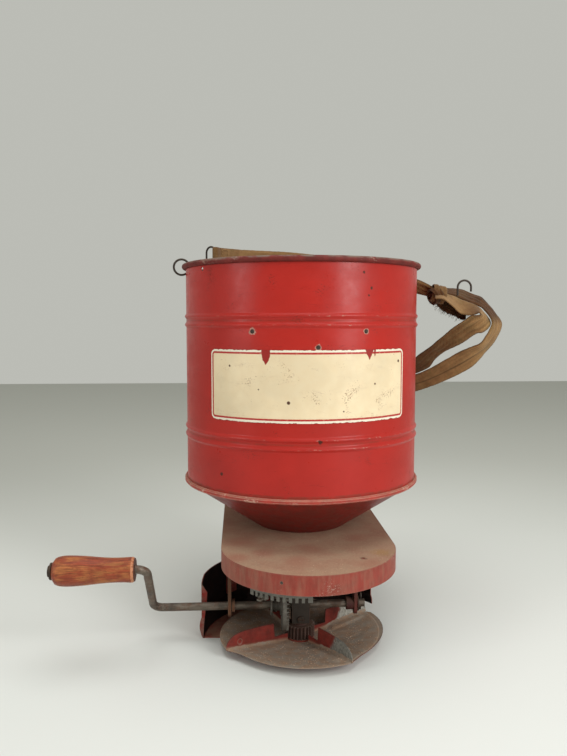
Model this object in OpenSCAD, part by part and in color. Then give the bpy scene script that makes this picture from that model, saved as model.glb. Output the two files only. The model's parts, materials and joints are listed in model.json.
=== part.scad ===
// Hand-cranked broadcast spreader: a round seed hopper on a funnel and deck, with a crank
// and a face gear that turn a four-vaned spreading fan under the deck.
// X runs along the crank shaft, the crank is at -X, the front is at -Y, and Z is up.
// The origin is on the fan's spin axis, on the surface that the spreader stands on.

/* [Hopper] */
// Outside radius of the hopper body
hopper_r = 127; // [121:1:133]
// Height of the hopper body, from its bottom hem to the top of the rim
hopper_h = 236; // [225:1:250]
// Thickness of the hopper's sheet metal
hopper_wall = 0.9; // [0.6:0.1:1.4]
// Distance of the hopper's axis to the right of the fan's axis
hopper_x = 8; // [6:0.5:10]
// Distance of the hopper's axis behind the fan's axis
hopper_y = 92; // [90:0.5:94]
// Radius of the rolled rim's section
rim_curl_r = 3; // [2.8:0.1:3.4]
// Radius of the wire inside the rolled rim
rim_wire_r = 2.1; // [1.5:0.1:2.1]
// Height of each swaged ridge on the body
bead_h = 1.6; // [0.8:0.1:2.2]
// Half the width of one swaged ridge
bead_half_w = 3.4; // [2.6:0.1:3.8]
// Distance between the two ridges of a pair
bead_pitch = 9; // [8:0.5:11]
// Height of the lower pair of ridges above the hem
bead_low_z = 56; // [45:1:65]
// Height of the upper pair of ridges above the hem
bead_high_z = 175; // [170:1:185]
// Height of the seam ring at the bottom of the body
hem_h = 5; // [4:0.5:7]
// Thickness of the seam ring
hem_t = 3; // [2:0.25:4]
// Width of the cream plate on the front, along the arc, in degrees
label_angle = 99; // [80:1:110]
// Height of the cream plate
label_h = 70; // [55:1:76]
// Height of the cream plate's lower edge above the hem
label_z = 77; // [74:1:84]
// Corner radius of the cream plate
label_corner_r = 5; // [2:0.5:9]
// Thickness of the cream plate
label_t = 0.3; // [0.2:0.05:0.6]

/* [Funnel and deck] */
// Height of the funnel between the deck and the hem
funnel_h = 52; // [46:1:60]
// Radius of the funnel's foot on the deck
funnel_foot_r = 51; // [48:1:55]
// Width of the funnel's turned-in foot on the deck
funnel_lip_w = 4; // [2.5:0.25:5]
// Height of the funnel's collar inside the hopper
funnel_collar_h = 7; // [4:0.5:12]
// Height of the deck's top above the ground
deck_z = 98; // [96:0.5:102]
// Half the width of the deck, which is the radius of its round front
deck_half_w = 88; // [86:0.5:92]
// Length of the deck behind the fan's axis
deck_back = 167; // [155:1:180]
// Height of the deck's turned-down apron
apron_h = 19; // [15:0.5:22]
// Thickness of the deck's sheet metal
deck_t = 0.9; // [0.7:0.1:1.4]
// Length of the feed slot through the deck
slot_len = 28; // [22:1:30]
// Width of the feed slot
slot_w = 15; // [11:0.5:16]
// Distance of the feed slot behind the fan's axis
slot_y = 60; // [58:0.5:62]

/* [Crank] */
// Radius of the crank rod
rod_r = 3.97; // [3.7:0.01:4.3]
// Height of the crank shaft above the ground
shaft_z = 36.3; // [36:0.1:38]
// Crank throw, from the shaft's axis to the grip's axis
throw = 76.2; // [65:0.1:85]
// Lean of the crank arm above level, towards the front, at rest
arm_angle = 49; // [30:1:70]
// Distance of the crank arm to the left of the fan's axis
arm_x = 148; // [145:1:158]
// Bend radius of the crank rod at its centre line
bend_r = 9.5; // [8:0.5:12]
// Length of the wooden grip
grip_len = 75; // [66:1:85]
// Largest radius of the wooden grip
grip_r = 14; // [13:0.25:16]
// Smallest radius of the wooden grip, at its waist
grip_waist_r = 11.2; // [10:0.1:12]
// Running clearance round the shaft, the spindle and the pins, on the radius
run_gap = 0.06; // [0.03:0.01:0.09]

/* [Gears] */
// Number of teeth on the crank's face gear
face_teeth = 40; // [40:5:40]
// Number of teeth on the fan's pinion
pinion_teeth = 24; // [24:12:24]
// Pitch radius of the pinion
pinion_r = 13.5; // [13.2:0.1:13.8]
// Width of the gear teeth along the pinion
tooth_face = 5.6; // [4.6:0.2:6]
// Radius of the gear's drum
drum_r = 10.5; // [9.5:0.25:12]
// Length of the gear's drum
drum_len = 11.5; // [11:0.25:13]

/* [Fan] */
// Radius of the fan at the tips of its vanes
fan_r = 86; // [80:1:90]
// Gap between the vanes' top edge and the shaft hangers
vane_gap = 0.9; // [0.6:0.1:4]
// Thickness of the fan's sheet metal
fan_t = 0.9; // [0.7:0.1:1.2]
// Rise of the dished fan plate from its hub to its edge
dish_rise = 7.2; // [5:0.2:8]
// Angle of the first vane at rest, counter-clockwise from +X
vane_phase = 29.5; // [20:0.5:40]
// Width of the folded foot of each vane
vane_foot_w = 8; // [6:0.5:10]
// Radius of the fan's hub flange
hub_r = 14; // [12:0.5:14.5]
// Radius of the fan spindle
spindle_r = 3.97; // [3.7:0.01:4.3]

/* [Guard and hangers] */
// Inside radius of the curved guard round the fan
guard_r = 100; // [96:0.5:104]
// Height of the guard
guard_h = 62; // [50:1:66]
// Thickness of the guard's sheet metal
guard_t = 0.9; // [0.7:0.1:1.4]
// Distance of the left shaft hanger from the deck's left edge
hanger_left_in = 9.8; // [8:0.2:12]
// Distance of the right shaft hanger from the fan's axis
hanger_right_x = 54.7; // [50:0.2:58]
// Width of the shaft hangers
hanger_w = 14; // [12:0.5:17]
// Thickness of the shaft hangers
hanger_t = 3.2; // [2.5:0.1:4]
// Length of a hanger's end below the shaft's axis
hanger_drop = 11; // [9:0.2:12]

/* [Strap] */
// Width of the cotton webbing
web_w = 25; // [20:1:26]
// Thickness of the webbing
web_t = 2.2; // [1.5:0.1:3]

/* [Hidden] */
$fn = 96;

// Gap between pieces of one body whose curved faces meet
seat_gap = 0.03;
// Overlap that joins the solids of one piece
join = 0.01;

hem_z = deck_z + funnel_h;
rim_z = hem_z + hopper_h;
curl_z = rim_z - rim_curl_r;
curl_R = hopper_r + 1.3;
hopper_in_r = hopper_r - hopper_wall;
deck_bottom = deck_z - deck_t;
apron_z = deck_z - apron_h;
slot_x = hopper_x;
deck_hole_x = 57;
deck_hole_y = -44;
deck_hole_r = 1.5;
apron_hole_angle = -111.3;
apron_hole_down = 8;

rod_bore_r = rod_r + run_gap;
spindle_bore_r = spindle_r + run_gap;
grip_dir = [0, -cos(arm_angle), sin(arm_angle)];
grip_axis = [0, 0, shaft_z] + throw * grip_dir;
grip_right_x = arm_x + bend_r + 0.9;
grip_left_x = grip_right_x + grip_len;
grip_end_gap = 0.9;
grip_washer_t = 1.6;
grip_washer_r = 7.9;
rod_tip_r = 5.2;
rod_tip_t = 0.8;
rod_end_x = grip_left_x + grip_end_gap + grip_washer_t + 1.2;
hanger_gap = 0.6;
hanger_foot = 24;
hanger_left_x = deck_half_w - hopper_x - hanger_left_in;
shaft_past_hanger = 8;
right_end_x = hanger_right_x + hanger_t + shaft_past_hanger;
cotter_x = right_end_x - 4;
cotter_r = 0.95;
cotter_hole_r = cotter_r + 0.15;
collar_r = 6.5;
left_collar_w = 3;
right_collar_w = 7;
washer_r = 8;
washer_t = 1.2;

tooth_add = 1.2;
pinion_tip_r = pinion_r + tooth_add;
pinion_root_r = pinion_r - tooth_add;
face_mean_r = pinion_r * face_teeth / pinion_teeth;
face_out_r = face_mean_r + tooth_face / 2;
face_in_r = face_mean_r - tooth_face / 2;
tooth_tip_gap = 0.5;
// Half widths of the teeth, thinned for backlash
face_tooth_base = 0.84;
face_tooth_tip = 0.34;
pinion_tooth_root = 1.12;
pinion_tooth_pitch = 0.62;
pinion_tooth_tip = 0.22;
tooth_tip_x = pinion_root_r + tooth_tip_gap;
tooth_base_x = pinion_tip_r + tooth_tip_gap;
web_x = tooth_base_x + 3.8;
drum_x = web_x + drum_len;
ridge_w = 1.7;
groove_r = drum_r - 4.5;
mid_ridge_r = groove_r + 1;
screw_r = 1.7;
screw_slot_w = 0.8;

floor_z = 1.8;
hub_flange_h = 2.2;
pinion_low_z = floor_z + hub_flange_h + seat_gap;
pinion_high_z = shaft_z - face_in_r + 0.1;
block_low_z = pinion_high_z + 2.6;
block_high_z = shaft_z + 9.7;
block_half = 9;
spindle_top_z = shaft_z - rod_bore_r - 1.9;
groove_low_z = block_low_z + 3.5;
groove_high_z = groove_low_z + 2.6;
groove_neck_r = spindle_r - 0.9;
screw_tip_gap = 0.25;
post_r = 6;
shoulder_r = 8;
flange_t = 1.2;
stub_r = 4;
stub_h = 4;
flange_r = 16;

gate_t = 1.6;
throat_t = 1.6;
throat_flange = 3;
rail_gap = 1.5;
rail_t = 1.5;
rail_lip = 6.5;
rail_from = 38;
rail_to = 104;
gate_gap = 0.4;
gate_top = deck_bottom - throat_t - gate_gap;
gate_low = gate_top - gate_t;
gate_open = 34;
slot_mid_angle = atan2(slot_y, slot_x);
gate_rest_angle = slot_mid_angle - gate_open;
gate_in_r = slot_y - slot_w / 2 - 3;
gate_out_r = norm([slot_x + slot_len / 2, slot_y + slot_w / 2]) + 1;
gate_half_angle = 17.5;
gate_ring_r = 10.5;
quadrant_r = 62;
quadrant_t = 1.5;
quadrant_low_z = 63;
quadrant_tooth_h = 4.5;
quadrant_from = 216;
quadrant_to = 276;
quadrant_teeth = 11;
tab_out_r = quadrant_r - 1.2;

arm_high_z = gate_low - 5;
arm_t = 2;
arm_w = 10;
leg_t = 2.4;
leg_w = 8;
leg_x = (web_x + drum_x) / 2;
leg_low_z = shaft_z + drum_r - 3;
arm_reach = norm([hopper_x + leg_x, hopper_y]);
arm_turn = atan2(-hopper_y, -leg_x - hopper_x);
agitator_pin_r = 4;
agitator_low_z = arm_high_z - arm_t;
arm_nut_h = 3.4;
arm_nut_r = 7.4;
wheel_low_z = deck_z + 0.5;
wheel_t = 1.5;

dish_in_r = hub_r + 0.2;
dish_out_r = 80;
foot_gap = 0.12;
vane_top = shaft_z - hanger_drop - vane_gap;
vane_in_r = max(hub_r, pinion_tip_r) + 0.6;
vane_low_r = face_out_r + 5.6;
vane_low_top = shaft_z - face_out_r - 1.5;
vane_full_r = drum_x + 1.6;
vane_peak_r = 58;
vane_t = 1;

loop_wire_r = 1.15;
rim_loop_r = 8.4;
rim_loop_angle = 183;
strap_loop_r = 7;
strap_loop_h = 24;
strap_loop_angle = 142;
strap_loop_R = curl_R + 2.2;
// The inner leg of the strap's loop, and the sewn end round it
strap_leg = [hopper_x, hopper_y]
    + (strap_loop_R - strap_loop_r) * [cos(strap_loop_angle), sin(strap_loop_angle)];
strap_hem_in_r = loop_wire_r + seat_gap;
strap_hem_r = strap_hem_in_r + web_t;
loop_hole_r = 2.3;
loop_hole_z = curl_z - 6.6;
strap_hole_z = curl_z - 5.9;
hook_hole_angle = -146.4;
hook_hole_z = rim_z - 9.6;
hook_hole_r = 2.2;
vent_hole_angle = -161.7;
vent_hole_z = rim_z - 12.8;
vent_hole_r = 1.2;

// Height of the dished plate's top face at radius r
function dish_z(r) = floor_z + dish_rise * (r - dish_in_r) / (dish_out_r - dish_in_r);

// One swaged ridge: a smooth bump, zero at both of its edges
function ridge(dz) = abs(dz) >= bead_half_w ? 0 : bead_h * (1 + cos(180 * dz / bead_half_w)) / 2;

function bead_at(z, centre) =
    ridge(z - centre - bead_pitch / 2) + ridge(z - centre + bead_pitch / 2);

// Heights at which the body's outline has a point, above the hem
bead_steps = 6;
function ridge_heights(centre) = [
    for (side = [-1, 1]) for (i = [-bead_steps:bead_steps])
        centre + side * bead_pitch / 2 + bead_half_w * i / bead_steps
];
body_heights = concat([0], ridge_heights(bead_low_z), ridge_heights(bead_high_z));

function body_r(h, inset) =
    hopper_r - inset + bead_at(h, bead_low_z) + bead_at(h, bead_high_z);

function reversed(list) = [for (i = [len(list) - 1:-1:0]) list[i]];

module torus(ring_r, section_r) {
    rotate_extrude() translate([ring_r, 0]) circle(r = section_r, $fn = 48);
}

// A ring of rectangular section, r0 to r1 and z0 to z1, over the angles from a0 to a1
module ring_sector(r0, r1, z0, z1, a0, a1) {
    rotate([0, 0, a0]) rotate_extrude(angle = a1 - a0)
        translate([r0, z0]) square([r1 - r0, z1 - z0]);
}

module at_hopper() {
    translate([hopper_x, hopper_y, 0]) children();
}

module along_x(x0, x1, r) {
    translate([x0, 0, 0]) rotate([0, 90, 0]) cylinder(r = r, h = x1 - x0);
}

// A rivet along +Z through a stack of thickness grip, with its head below and its tail above
module rivet(r, grip, head_r, head_h) {
    cylinder(r = r, h = grip + join);
    translate([0, 0, -head_h]) cylinder(r1 = head_r * 0.6, r2 = head_r, h = head_h);
    translate([0, 0, grip]) cylinder(r1 = head_r, r2 = head_r * 0.7, h = head_h);
}

module rounded_rect(w, h, r) {
    square([w - 2 * r, h], center = true);
    square([w, h - 2 * r], center = true);
    for (x = [-1, 1]) for (y = [-1, 1])
        translate([x * (w / 2 - r), y * (h / 2 - r)]) circle(r = r, $fn = 48);
}

// Webbing swept along a path. Each point is [x, y, z, the direction of its width, width,
// thickness].
function unit(v) = v / norm(v);
function place(p) = [p[0], p[1], p[2]];
function heading(path, i) =
    unit(place(path[min(i + 1, len(path) - 1)]) - place(path[max(i - 1, 0)]));
function width_dir(path, i) =
    let (h = heading(path, i), u = [path[i][3], path[i][4], path[i][5]])
    unit(u - (u * h) * h);
function web_ring(path, i) =
    let (u = width_dir(path, i), n = cross(u, heading(path, i)))
    [
        for (c = [[-1, -1], [1, -1], [1, 1], [-1, 1]])
            place(path[i]) + c[0] * path[i][7] / 2 * n + c[1] * path[i][6] / 2 * u
    ];

module webbing(path) {
    n = len(path);
    points = [for (i = [0:n - 1]) each web_ring(path, i)];
    walls = [
        for (i = [0:n - 2]) for (k = [0:3]) each [
            [4 * i + k, 4 * i + (k + 1) % 4, 4 * i + 4 + (k + 1) % 4],
            [4 * i + k, 4 * i + 4 + (k + 1) % 4, 4 * i + 4 + k]
        ]
    ];
    last = 4 * n - 4;
    ends = [[0, 3, 2], [0, 2, 1], [last, last + 1, last + 2], [last, last + 2, last + 3]];
    polyhedron(points = points, faces = [for (f = concat(walls, ends)) reversed(f)]);
}

// Smooth points through a hand-chosen route
function spline(a, b, c, d, t) =
    0.5 * (2 * b + (c - a) * t + (2 * a - 5 * b + 4 * c - d) * t * t
    + (3 * b - a - 3 * c + d) * t * t * t);
function smooth(route, steps) = [
    for (i = [0:len(route) - 2]) for (k = [0:steps - 1])
        spline(route[max(i - 1, 0)], route[i], route[i + 1],
               route[min(i + 2, len(route) - 1)], k / steps),
    route[len(route) - 1]
];

// A point of the strap, at an angle about the hopper's axis, outside its wall and above its rim
function by_rim(p) = [
    hopper_x + (hopper_r + p[1]) * cos(p[0]),
    hopper_y + (hopper_r + p[1]) * sin(p[0]),
    rim_z + p[2]
];

knot_w = 18;
knot_t = 15;
bundle_t = 8;
// Route of the strap: from the hem at the back left over the rim to the knot at the right,
// along the folded bundle, round the far fold, down behind the hopper, and back up under the
// bundle. Each point is [angle, distance outside the wall, height above the rim, the
// direction of its width, width, thickness].
strap_route = [
    [136.8, -3.5, 15, 0, 0, 1, web_w, web_t], [122, 1.5, 15, 0, 0, 1, web_w, web_t],
    [106.1, 3, 15, 0, 0, 1, web_w, web_t], [90, 4, 14, 0, 0, 1, web_w, web_t],
    [72.9, 9, 10, 0, 0, 1, web_w, web_t], [54.3, 13.5, 2, 0, -0.2, 1, web_w, web_t],
    [36.6, 17.5, -9, 0, -0.4, 1, web_w, web_t], [19.4, 23.5, -19, 0.1, -0.5, 1, web_w * 0.7, web_t],
    [15.9, 30, -22, 0.2, -0.2, 1, web_w * 0.7, web_t * 2],
    [14.6, 35.5, -24, 0.2, 0, 1, knot_w, knot_t], [13.4, 45.5, -25, 0.2, 0, 1, knot_w, knot_t],
    [12.5, 53.5, -26, 0.3, 0, 1, web_w, bundle_t], [11.1, 70.5, -29, 0.3, 0, 1, web_w, bundle_t],
    [10.1, 90.5, -38, 0.5, 0, 0.9, web_w, bundle_t],
    [9.6, 106.5, -51, 0.8, 0, 0.6, web_w, bundle_t],
    [9.9, 112.5, -67, 1, 0, -0.1, web_w, bundle_t],
    [11.9, 106, -84, 0.8, 0, -0.6, web_w, 2 * web_t],
    [15, 92.5, -99, 0.6, 0, -0.8, web_w, 2 * web_t],
    [20, 77.5, -114, 0.5, 0, -0.9, web_w, 2 * web_t],
    [27.9, 63, -128, 0.4, 0, -1, web_w, 2 * web_t], [39.1, 50.5, -139, 0.2, 0, -1, web_w, web_t],
    [53.3, 40, -146, 0.1, 0, -1, web_w, web_t], [67, 31.5, -149, 0, 0, -1, web_w, web_t],
    [76.1, 23.5, -149, 0, 0, -1, web_w, web_t], [79.5, 15.5, -148, 0, 0, -1, web_w, web_t],
    [75.8, 11, -146, 0, 0, -1, web_w, web_t], [66, 15.5, -140, 0, 0, -1, web_w, web_t],
    [53.4, 24, -132, 0.1, 0, -1, web_w, web_t], [39.5, 36.5, -121, 0.3, 0, -1, web_w, web_t],
    [26.9, 48, -107, 0.5, 0, -0.9, web_w, web_t], [19.5, 62, -90, 0.6, 0, -0.8, web_w, web_t],
    [14.2, 77, -71, 0.7, 0, -0.7, web_w, web_t], [11.8, 88.5, -56, 0.7, 0, -0.7, web_w, web_t]
];
// The strap starts at its sewn end, on the line to the first point of its route
hem_gap = 0.25;
strap_first = by_rim(strap_route[0]);
strap_away = unit([strap_first[0], strap_first[1]] - strap_leg);
strap_from = strap_leg + (strap_hem_r + hem_gap) * strap_away;
strap_path = concat(
    [[strap_from[0], strap_from[1], strap_first[2], 0, 0, 1, web_w, web_t]],
    [for (p = strap_route) concat(by_rim(p), [p[3], p[4], p[5], p[6], p[7]])]
);

module hopper_shell() {
    outer = [for (h = body_heights) [body_r(h, 0), hem_z + h]];
    inner = [for (h = body_heights) [body_r(h, hopper_wall), hem_z + h]];
    profile = concat(outer, [[hopper_r, curl_z], [hopper_in_r, curl_z]], reversed(inner));
    color("firebrick") at_hopper() difference() {
        union() {
            rotate_extrude($fn = 180) polygon(profile);
            translate([0, 0, curl_z]) torus(curl_R, rim_curl_r);
        }
        translate([0, 0, curl_z]) torus(curl_R, rim_wire_r + 0.1);
        radial_hole(rim_loop_angle, loop_hole_z, loop_hole_r);
        radial_hole(strap_loop_angle, strap_hole_z, loop_hole_r);
        radial_hole(hook_hole_angle, hook_hole_z, hook_hole_r);
        radial_hole(vent_hole_angle, vent_hole_z, vent_hole_r);
        for (spot = rivet_spots)
            radial_hole(spot[0], hem_z + spot[1], hopper_rivet_r + seat_gap);
    }
}

// The rivets in the hopper's wall: two just under the upper ridges, and one just over the label
hopper_rivet_r = 1.5;
hopper_rivet_head_r = 2.2;
high_ridge_edge = bead_high_z - bead_pitch / 2 - bead_half_w;
high_rivet_z = high_ridge_edge - hopper_rivet_head_r - 0.3;
label_rivet_z = label_z + label_h + hopper_rivet_head_r + 0.4;
// Angle and height above the hem of each rivet
rivet_spots = [[-116.3, high_rivet_z], [-65.2, high_rivet_z], [-87.4, label_rivet_z]];

module radial_hole(angle, z, r) {
    rotate([0, 0, angle]) translate([hopper_r - 9, 0, z]) rotate([0, 90, 0])
        cylinder(r = r, h = 14, $fn = 48);
}

module rim_wire() {
    color("saddlebrown") at_hopper() translate([0, 0, curl_z]) torus(curl_R, rim_wire_r);
}

module hem_ring() {
    color("firebrick") at_hopper() rotate_extrude($fn = 180) polygon([
        [hopper_r + seat_gap, hem_z - 1.5],
        [hopper_r + hem_t * 0.6, hem_z - 1.5],
        [hopper_r + hem_t, hem_z - 0.3],
        [hopper_r + hem_t, hem_z + hem_h - 2.8],
        [hopper_r + hem_t * 0.6, hem_z + hem_h - 1.5],
        [hopper_r + seat_gap, hem_z + hem_h - 1.5]
    ]);
}

module hopper_rivets() {
    grip = hopper_wall + 3 * seat_gap;
    color("slategray") at_hopper() for (spot = rivet_spots)
        rotate([0, 0, spot[0]]) translate([hopper_in_r - 2 * seat_gap, 0, hem_z + spot[1]])
            rotate([0, 90, 0]) rivet(hopper_rivet_r, grip, hopper_rivet_head_r, 0.8);
}

module label_plate() {
    plate_r = hopper_r + 0.1;
    chord = 2 * plate_r * sin(label_angle / 2);
    color("cornsilk") at_hopper() intersection() {
        translate([0, 0, hem_z]) difference() {
            cylinder(r = plate_r + label_t, h = hopper_h, $fn = 180);
            translate([0, 0, -1]) cylinder(r = plate_r, h = hopper_h + 2, $fn = 180);
        }
        translate([0, 0, hem_z + label_z + label_h / 2]) rotate([90, 0, 0])
            linear_extrude(height = 2 * hopper_r) rounded_rect(chord, label_h, label_corner_r);
    }
}

module funnel() {
    top_r = hopper_in_r - seat_gap;
    slope_t = hopper_wall * 1.3;
    color("maroon") at_hopper() rotate_extrude($fn = 180) polygon([
        [top_r, hem_z + funnel_collar_h],
        [top_r - hopper_wall, hem_z + funnel_collar_h],
        [top_r - hopper_wall, hem_z],
        [funnel_foot_r - slope_t, deck_z + hopper_wall],
        [funnel_foot_r - funnel_lip_w, deck_z + hopper_wall],
        [funnel_foot_r - funnel_lip_w, deck_z],
        [funnel_foot_r, deck_z],
        [top_r, hem_z - slope_t]
    ]);
}

// Outline of the deck, grown by d: a round front and a square back
module deck_outline(d) {
    translate([hopper_x, 0]) circle(r = deck_half_w + d, $fn = 180);
    translate([hopper_x - deck_half_w - d, 0])
        square([2 * (deck_half_w + d), deck_back + d]);
}

// Outline of the feed slot, grown by d
module slot_outline(d) {
    translate([slot_x, slot_y]) {
        square([slot_len - slot_w, slot_w + 2 * d], center = true);
        for (side = [-1, 1]) translate([side * (slot_len - slot_w) / 2, 0])
            circle(r = slot_w / 2 + d, $fn = 48);
    }
}

module deck() {
    color("indianred") difference() {
        translate([0, 0, apron_z]) linear_extrude(height = apron_h) deck_outline(0);
        translate([0, 0, apron_z - 1]) linear_extrude(height = apron_h - deck_t + 1)
            deck_outline(-deck_t);
        translate([0, 0, deck_bottom - 1]) linear_extrude(height = 4) slot_outline(0);
        at_hopper() translate([0, 0, deck_bottom - 1])
            cylinder(r = agitator_pin_r + 1.5, h = 4);
        translate([deck_hole_x, deck_hole_y, deck_bottom - 1])
            cylinder(r = deck_hole_r, h = 4, $fn = 32);
        translate([hopper_x, 0, 0]) rotate([0, 0, apron_hole_angle])
            translate([deck_half_w - 4, 0, deck_z - apron_hole_down]) rotate([0, 90, 0])
                cylinder(r = deck_hole_r, h = 8, $fn = 32);
    }
}

module feed_throat() {
    color("gray") translate([0, 0, deck_bottom - throat_t]) linear_extrude(height = throat_t)
        difference() {
            slot_outline(throat_flange);
            slot_outline(0);
        }
}

// The rail that carries the gate's outer edge: a lip under the gate on a wall down from the deck
module gate_rail() {
    lip_low = gate_low - 0.6 - gate_t;
    wall_r = gate_out_r + rail_gap;
    color("gray") {
        ring_sector(wall_r - rail_lip, wall_r + rail_t, lip_low, lip_low + gate_t, rail_from, rail_to);
        ring_sector(wall_r, wall_r + rail_t, lip_low, deck_bottom, rail_from, rail_to);
    }
}

module notched_quadrant() {
    step = (quadrant_to - quadrant_from) / quadrant_teeth;
    gap_w = quadrant_r * sin(step) / 2;
    out_r = quadrant_r + quadrant_t;
    color("darkgray") difference() {
        rotate([0, 0, quadrant_from]) rotate_extrude(angle = quadrant_to - quadrant_from) polygon([
            [quadrant_r, quadrant_low_z], [out_r, quadrant_low_z],
            [out_r, deck_bottom - flange_t], [quadrant_r + 8, deck_bottom - flange_t],
            [quadrant_r + 8, deck_bottom], [quadrant_r, deck_bottom]
        ]);
        for (i = [1:quadrant_teeth - 1]) rotate([0, 0, quadrant_from + step * i])
            translate([quadrant_r - 2, -gap_w / 2, quadrant_low_z - 1])
                cube([quadrant_t + 4, gap_w, quadrant_tooth_h + 1]);
    }
}

guard_from = 34;
guard_rod_gap = 3;
guard_to = 180 - asin((rod_r + guard_rod_gap) / guard_r);
guard_cut_to = 46;
guard_cut_h = 11;
bracket_angles = [136, 112, 50];
bracket_w = 14;
bracket_t = 2;
bracket_foot = 12;
bracket_low_z = 24;
bracket_out_r = guard_r - 0.3;
guard_rivet_heights = [32, 52];
guard_rivet_r = 2;
guard_foot_w = 2;
guard_lip_w = 17;
// The wall's lower part swells outwards: height, and distance outside the guard's radius
guard_swell = [[3, 0.2], [6, 1.2], [10, 2], [14, 2], [18, 1.4], [22, 0]];
// The edge of the folded flange at the guard's left end: distance inside the guard's radius,
// and height as a part of the guard's height
flange_edge = [[5.1, 0.78], [4.5, 0.61], [3, 0.45], [1.6, 0.25], [0.7, 0.01]];
flange_top = 0.93;
guard_end_dip = 14;

module at_guard_rivets() {
    for (a = bracket_angles) for (z = guard_rivet_heights)
        rotate([0, 0, a]) translate([bracket_out_r - bracket_t, 0, z]) rotate([0, 90, 0])
            children();
}

module rear_guard() {
    out_r = guard_r + guard_t;
    wall_out = [for (p = guard_swell) [out_r + p[1], p[0]]];
    wall_in = [for (p = guard_swell) [guard_r + p[1], p[0]]];
    color("maroon") difference() {
        union() {
            rotate([0, 0, guard_from]) rotate_extrude(angle = guard_to - guard_from, $fn = 180)
                polygon(concat(
                    [[guard_r - guard_foot_w, 0], [out_r - 1, 0]], wall_out,
                    [[out_r, guard_h], [guard_r, guard_h]], reversed(wall_in),
                    [[guard_r - 1, guard_t], [guard_r - guard_foot_w, guard_t]]
                ));
            rotate([90, 0, guard_to]) translate([0, 0, -guard_t / 2])
                linear_extrude(height = guard_t) polygon(concat(
                    [[guard_r - guard_foot_w, 0], [out_r - 1, 0]], wall_out,
                    [[out_r, flange_top * guard_h]],
                    [for (p = flange_edge) [guard_r - p[0], p[1] * guard_h]]
                ));
        }
        rotate([90, 0, guard_to + 90]) translate([0, 0, guard_r - 10])
            linear_extrude(height = 20) polygon([
                [-guard_end_dip - 4, guard_h + 1.2], [1, flange_top * guard_h],
                [1, guard_h + 2], [-guard_end_dip - 4, guard_h + 2]
            ]);
        rotate([0, 0, guard_from - 1]) translate([0, 0, -1])
            rotate_extrude(angle = guard_cut_to - guard_from + 1)
                translate([guard_r - 10, 0]) square([20, guard_cut_h + 1]);
        at_guard_rivets() cylinder(r = guard_rivet_r + seat_gap, h = 5, $fn = 32);
    }
}

// The flat lip inside the guard's foot, under the edge of the fan
module guard_lip() {
    lip_out_r = guard_r - guard_foot_w - seat_gap;
    color("maroon") ring_sector(lip_out_r - guard_lip_w, lip_out_r, 0, guard_t,
                                guard_cut_to, guard_to);
}

module guard_brackets() {
    foot_t = 2;
    color("maroon") difference() {
        for (a = bracket_angles) rotate([0, 0, a]) {
            translate([bracket_out_r - bracket_t, -bracket_w / 2, bracket_low_z])
                cube([bracket_t, bracket_w, deck_bottom - bracket_low_z]);
            translate([bracket_out_r - bracket_foot, -bracket_w / 2, deck_bottom - foot_t])
                cube([bracket_foot, bracket_w, foot_t]);
        }
        at_guard_rivets() translate([0, 0, -3])
            cylinder(r = guard_rivet_r + seat_gap, h = 8, $fn = 32);
    }
}

module guard_rivets() {
    grip = bracket_t + 0.3 + guard_t + 2 * seat_gap;
    color("maroon") at_guard_rivets() translate([0, 0, -seat_gap])
        rivet(guard_rivet_r, grip, 3.4, 1.2);
}

// A flat hanger bar in the plane across the shaft, with a foot of length foot along +X
module hanger(foot) {
    low_z = shaft_z - hanger_drop;
    end_r = hanger_w / 2;
    difference() {
        union() {
            translate([0, -end_r, low_z + end_r])
                cube([hanger_t, hanger_w, deck_bottom - low_z - end_r]);
            translate([0, 0, low_z + end_r]) along_x(0, hanger_t, end_r);
            translate([0, -end_r, deck_bottom - hanger_t]) cube([foot, hanger_w, hanger_t]);
        }
        translate([0, 0, shaft_z]) along_x(-5, hanger_t + 5, rod_bore_r);
    }
}

module left_hanger() {
    color("saddlebrown") translate([-hanger_left_x - hanger_t, 0, 0]) hanger(hanger_foot);
}

module right_hanger() {
    color("maroon") translate([hanger_right_x, 0, 0]) hanger(hanger_foot);
}

module spindle_block() {
    color("dimgray") difference() {
        translate([-block_half, -block_half, block_low_z])
            cube([2 * block_half, 2 * block_half, block_high_z - block_low_z]);
        translate([0, 0, shaft_z]) along_x(-block_half - 1, block_half + 1, rod_bore_r);
        translate([0, 0, block_low_z - 1])
            cylinder(r = spindle_bore_r, h = spindle_top_z + 0.3 - block_low_z + 1);
        translate([0, 0, block_high_z - stub_h - 0.2])
            cylinder(r = stub_r + seat_gap, h = stub_h + 1);
        at_retaining_screw() cylinder(r = screw_r + seat_gap, h = block_half, $fn = 32);
    }
}

// The post between the block and the deck: a stub in the block, a shoulder that the gate
// turns on, and a flange under the deck
module gate_post() {
    shoulder_top = gate_low - 0.3;
    color("dimgray") {
        translate([0, 0, block_high_z - stub_h]) cylinder(r = stub_r, h = stub_h + 1);
        translate([0, 0, block_high_z]) cylinder(r = shoulder_r, h = shoulder_top - block_high_z);
        translate([0, 0, block_high_z]) cylinder(r = post_r, h = deck_bottom - block_high_z);
        translate([0, 0, deck_bottom - flange_t]) cylinder(r = flange_r, h = flange_t);
    }
}

// The screw's place: local +Z points out of the block's front face
module at_retaining_screw() {
    translate([0, -groove_neck_r - screw_tip_gap, (groove_low_z + groove_high_z) / 2])
        rotate([90, 0, 0]) children();
}

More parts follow.
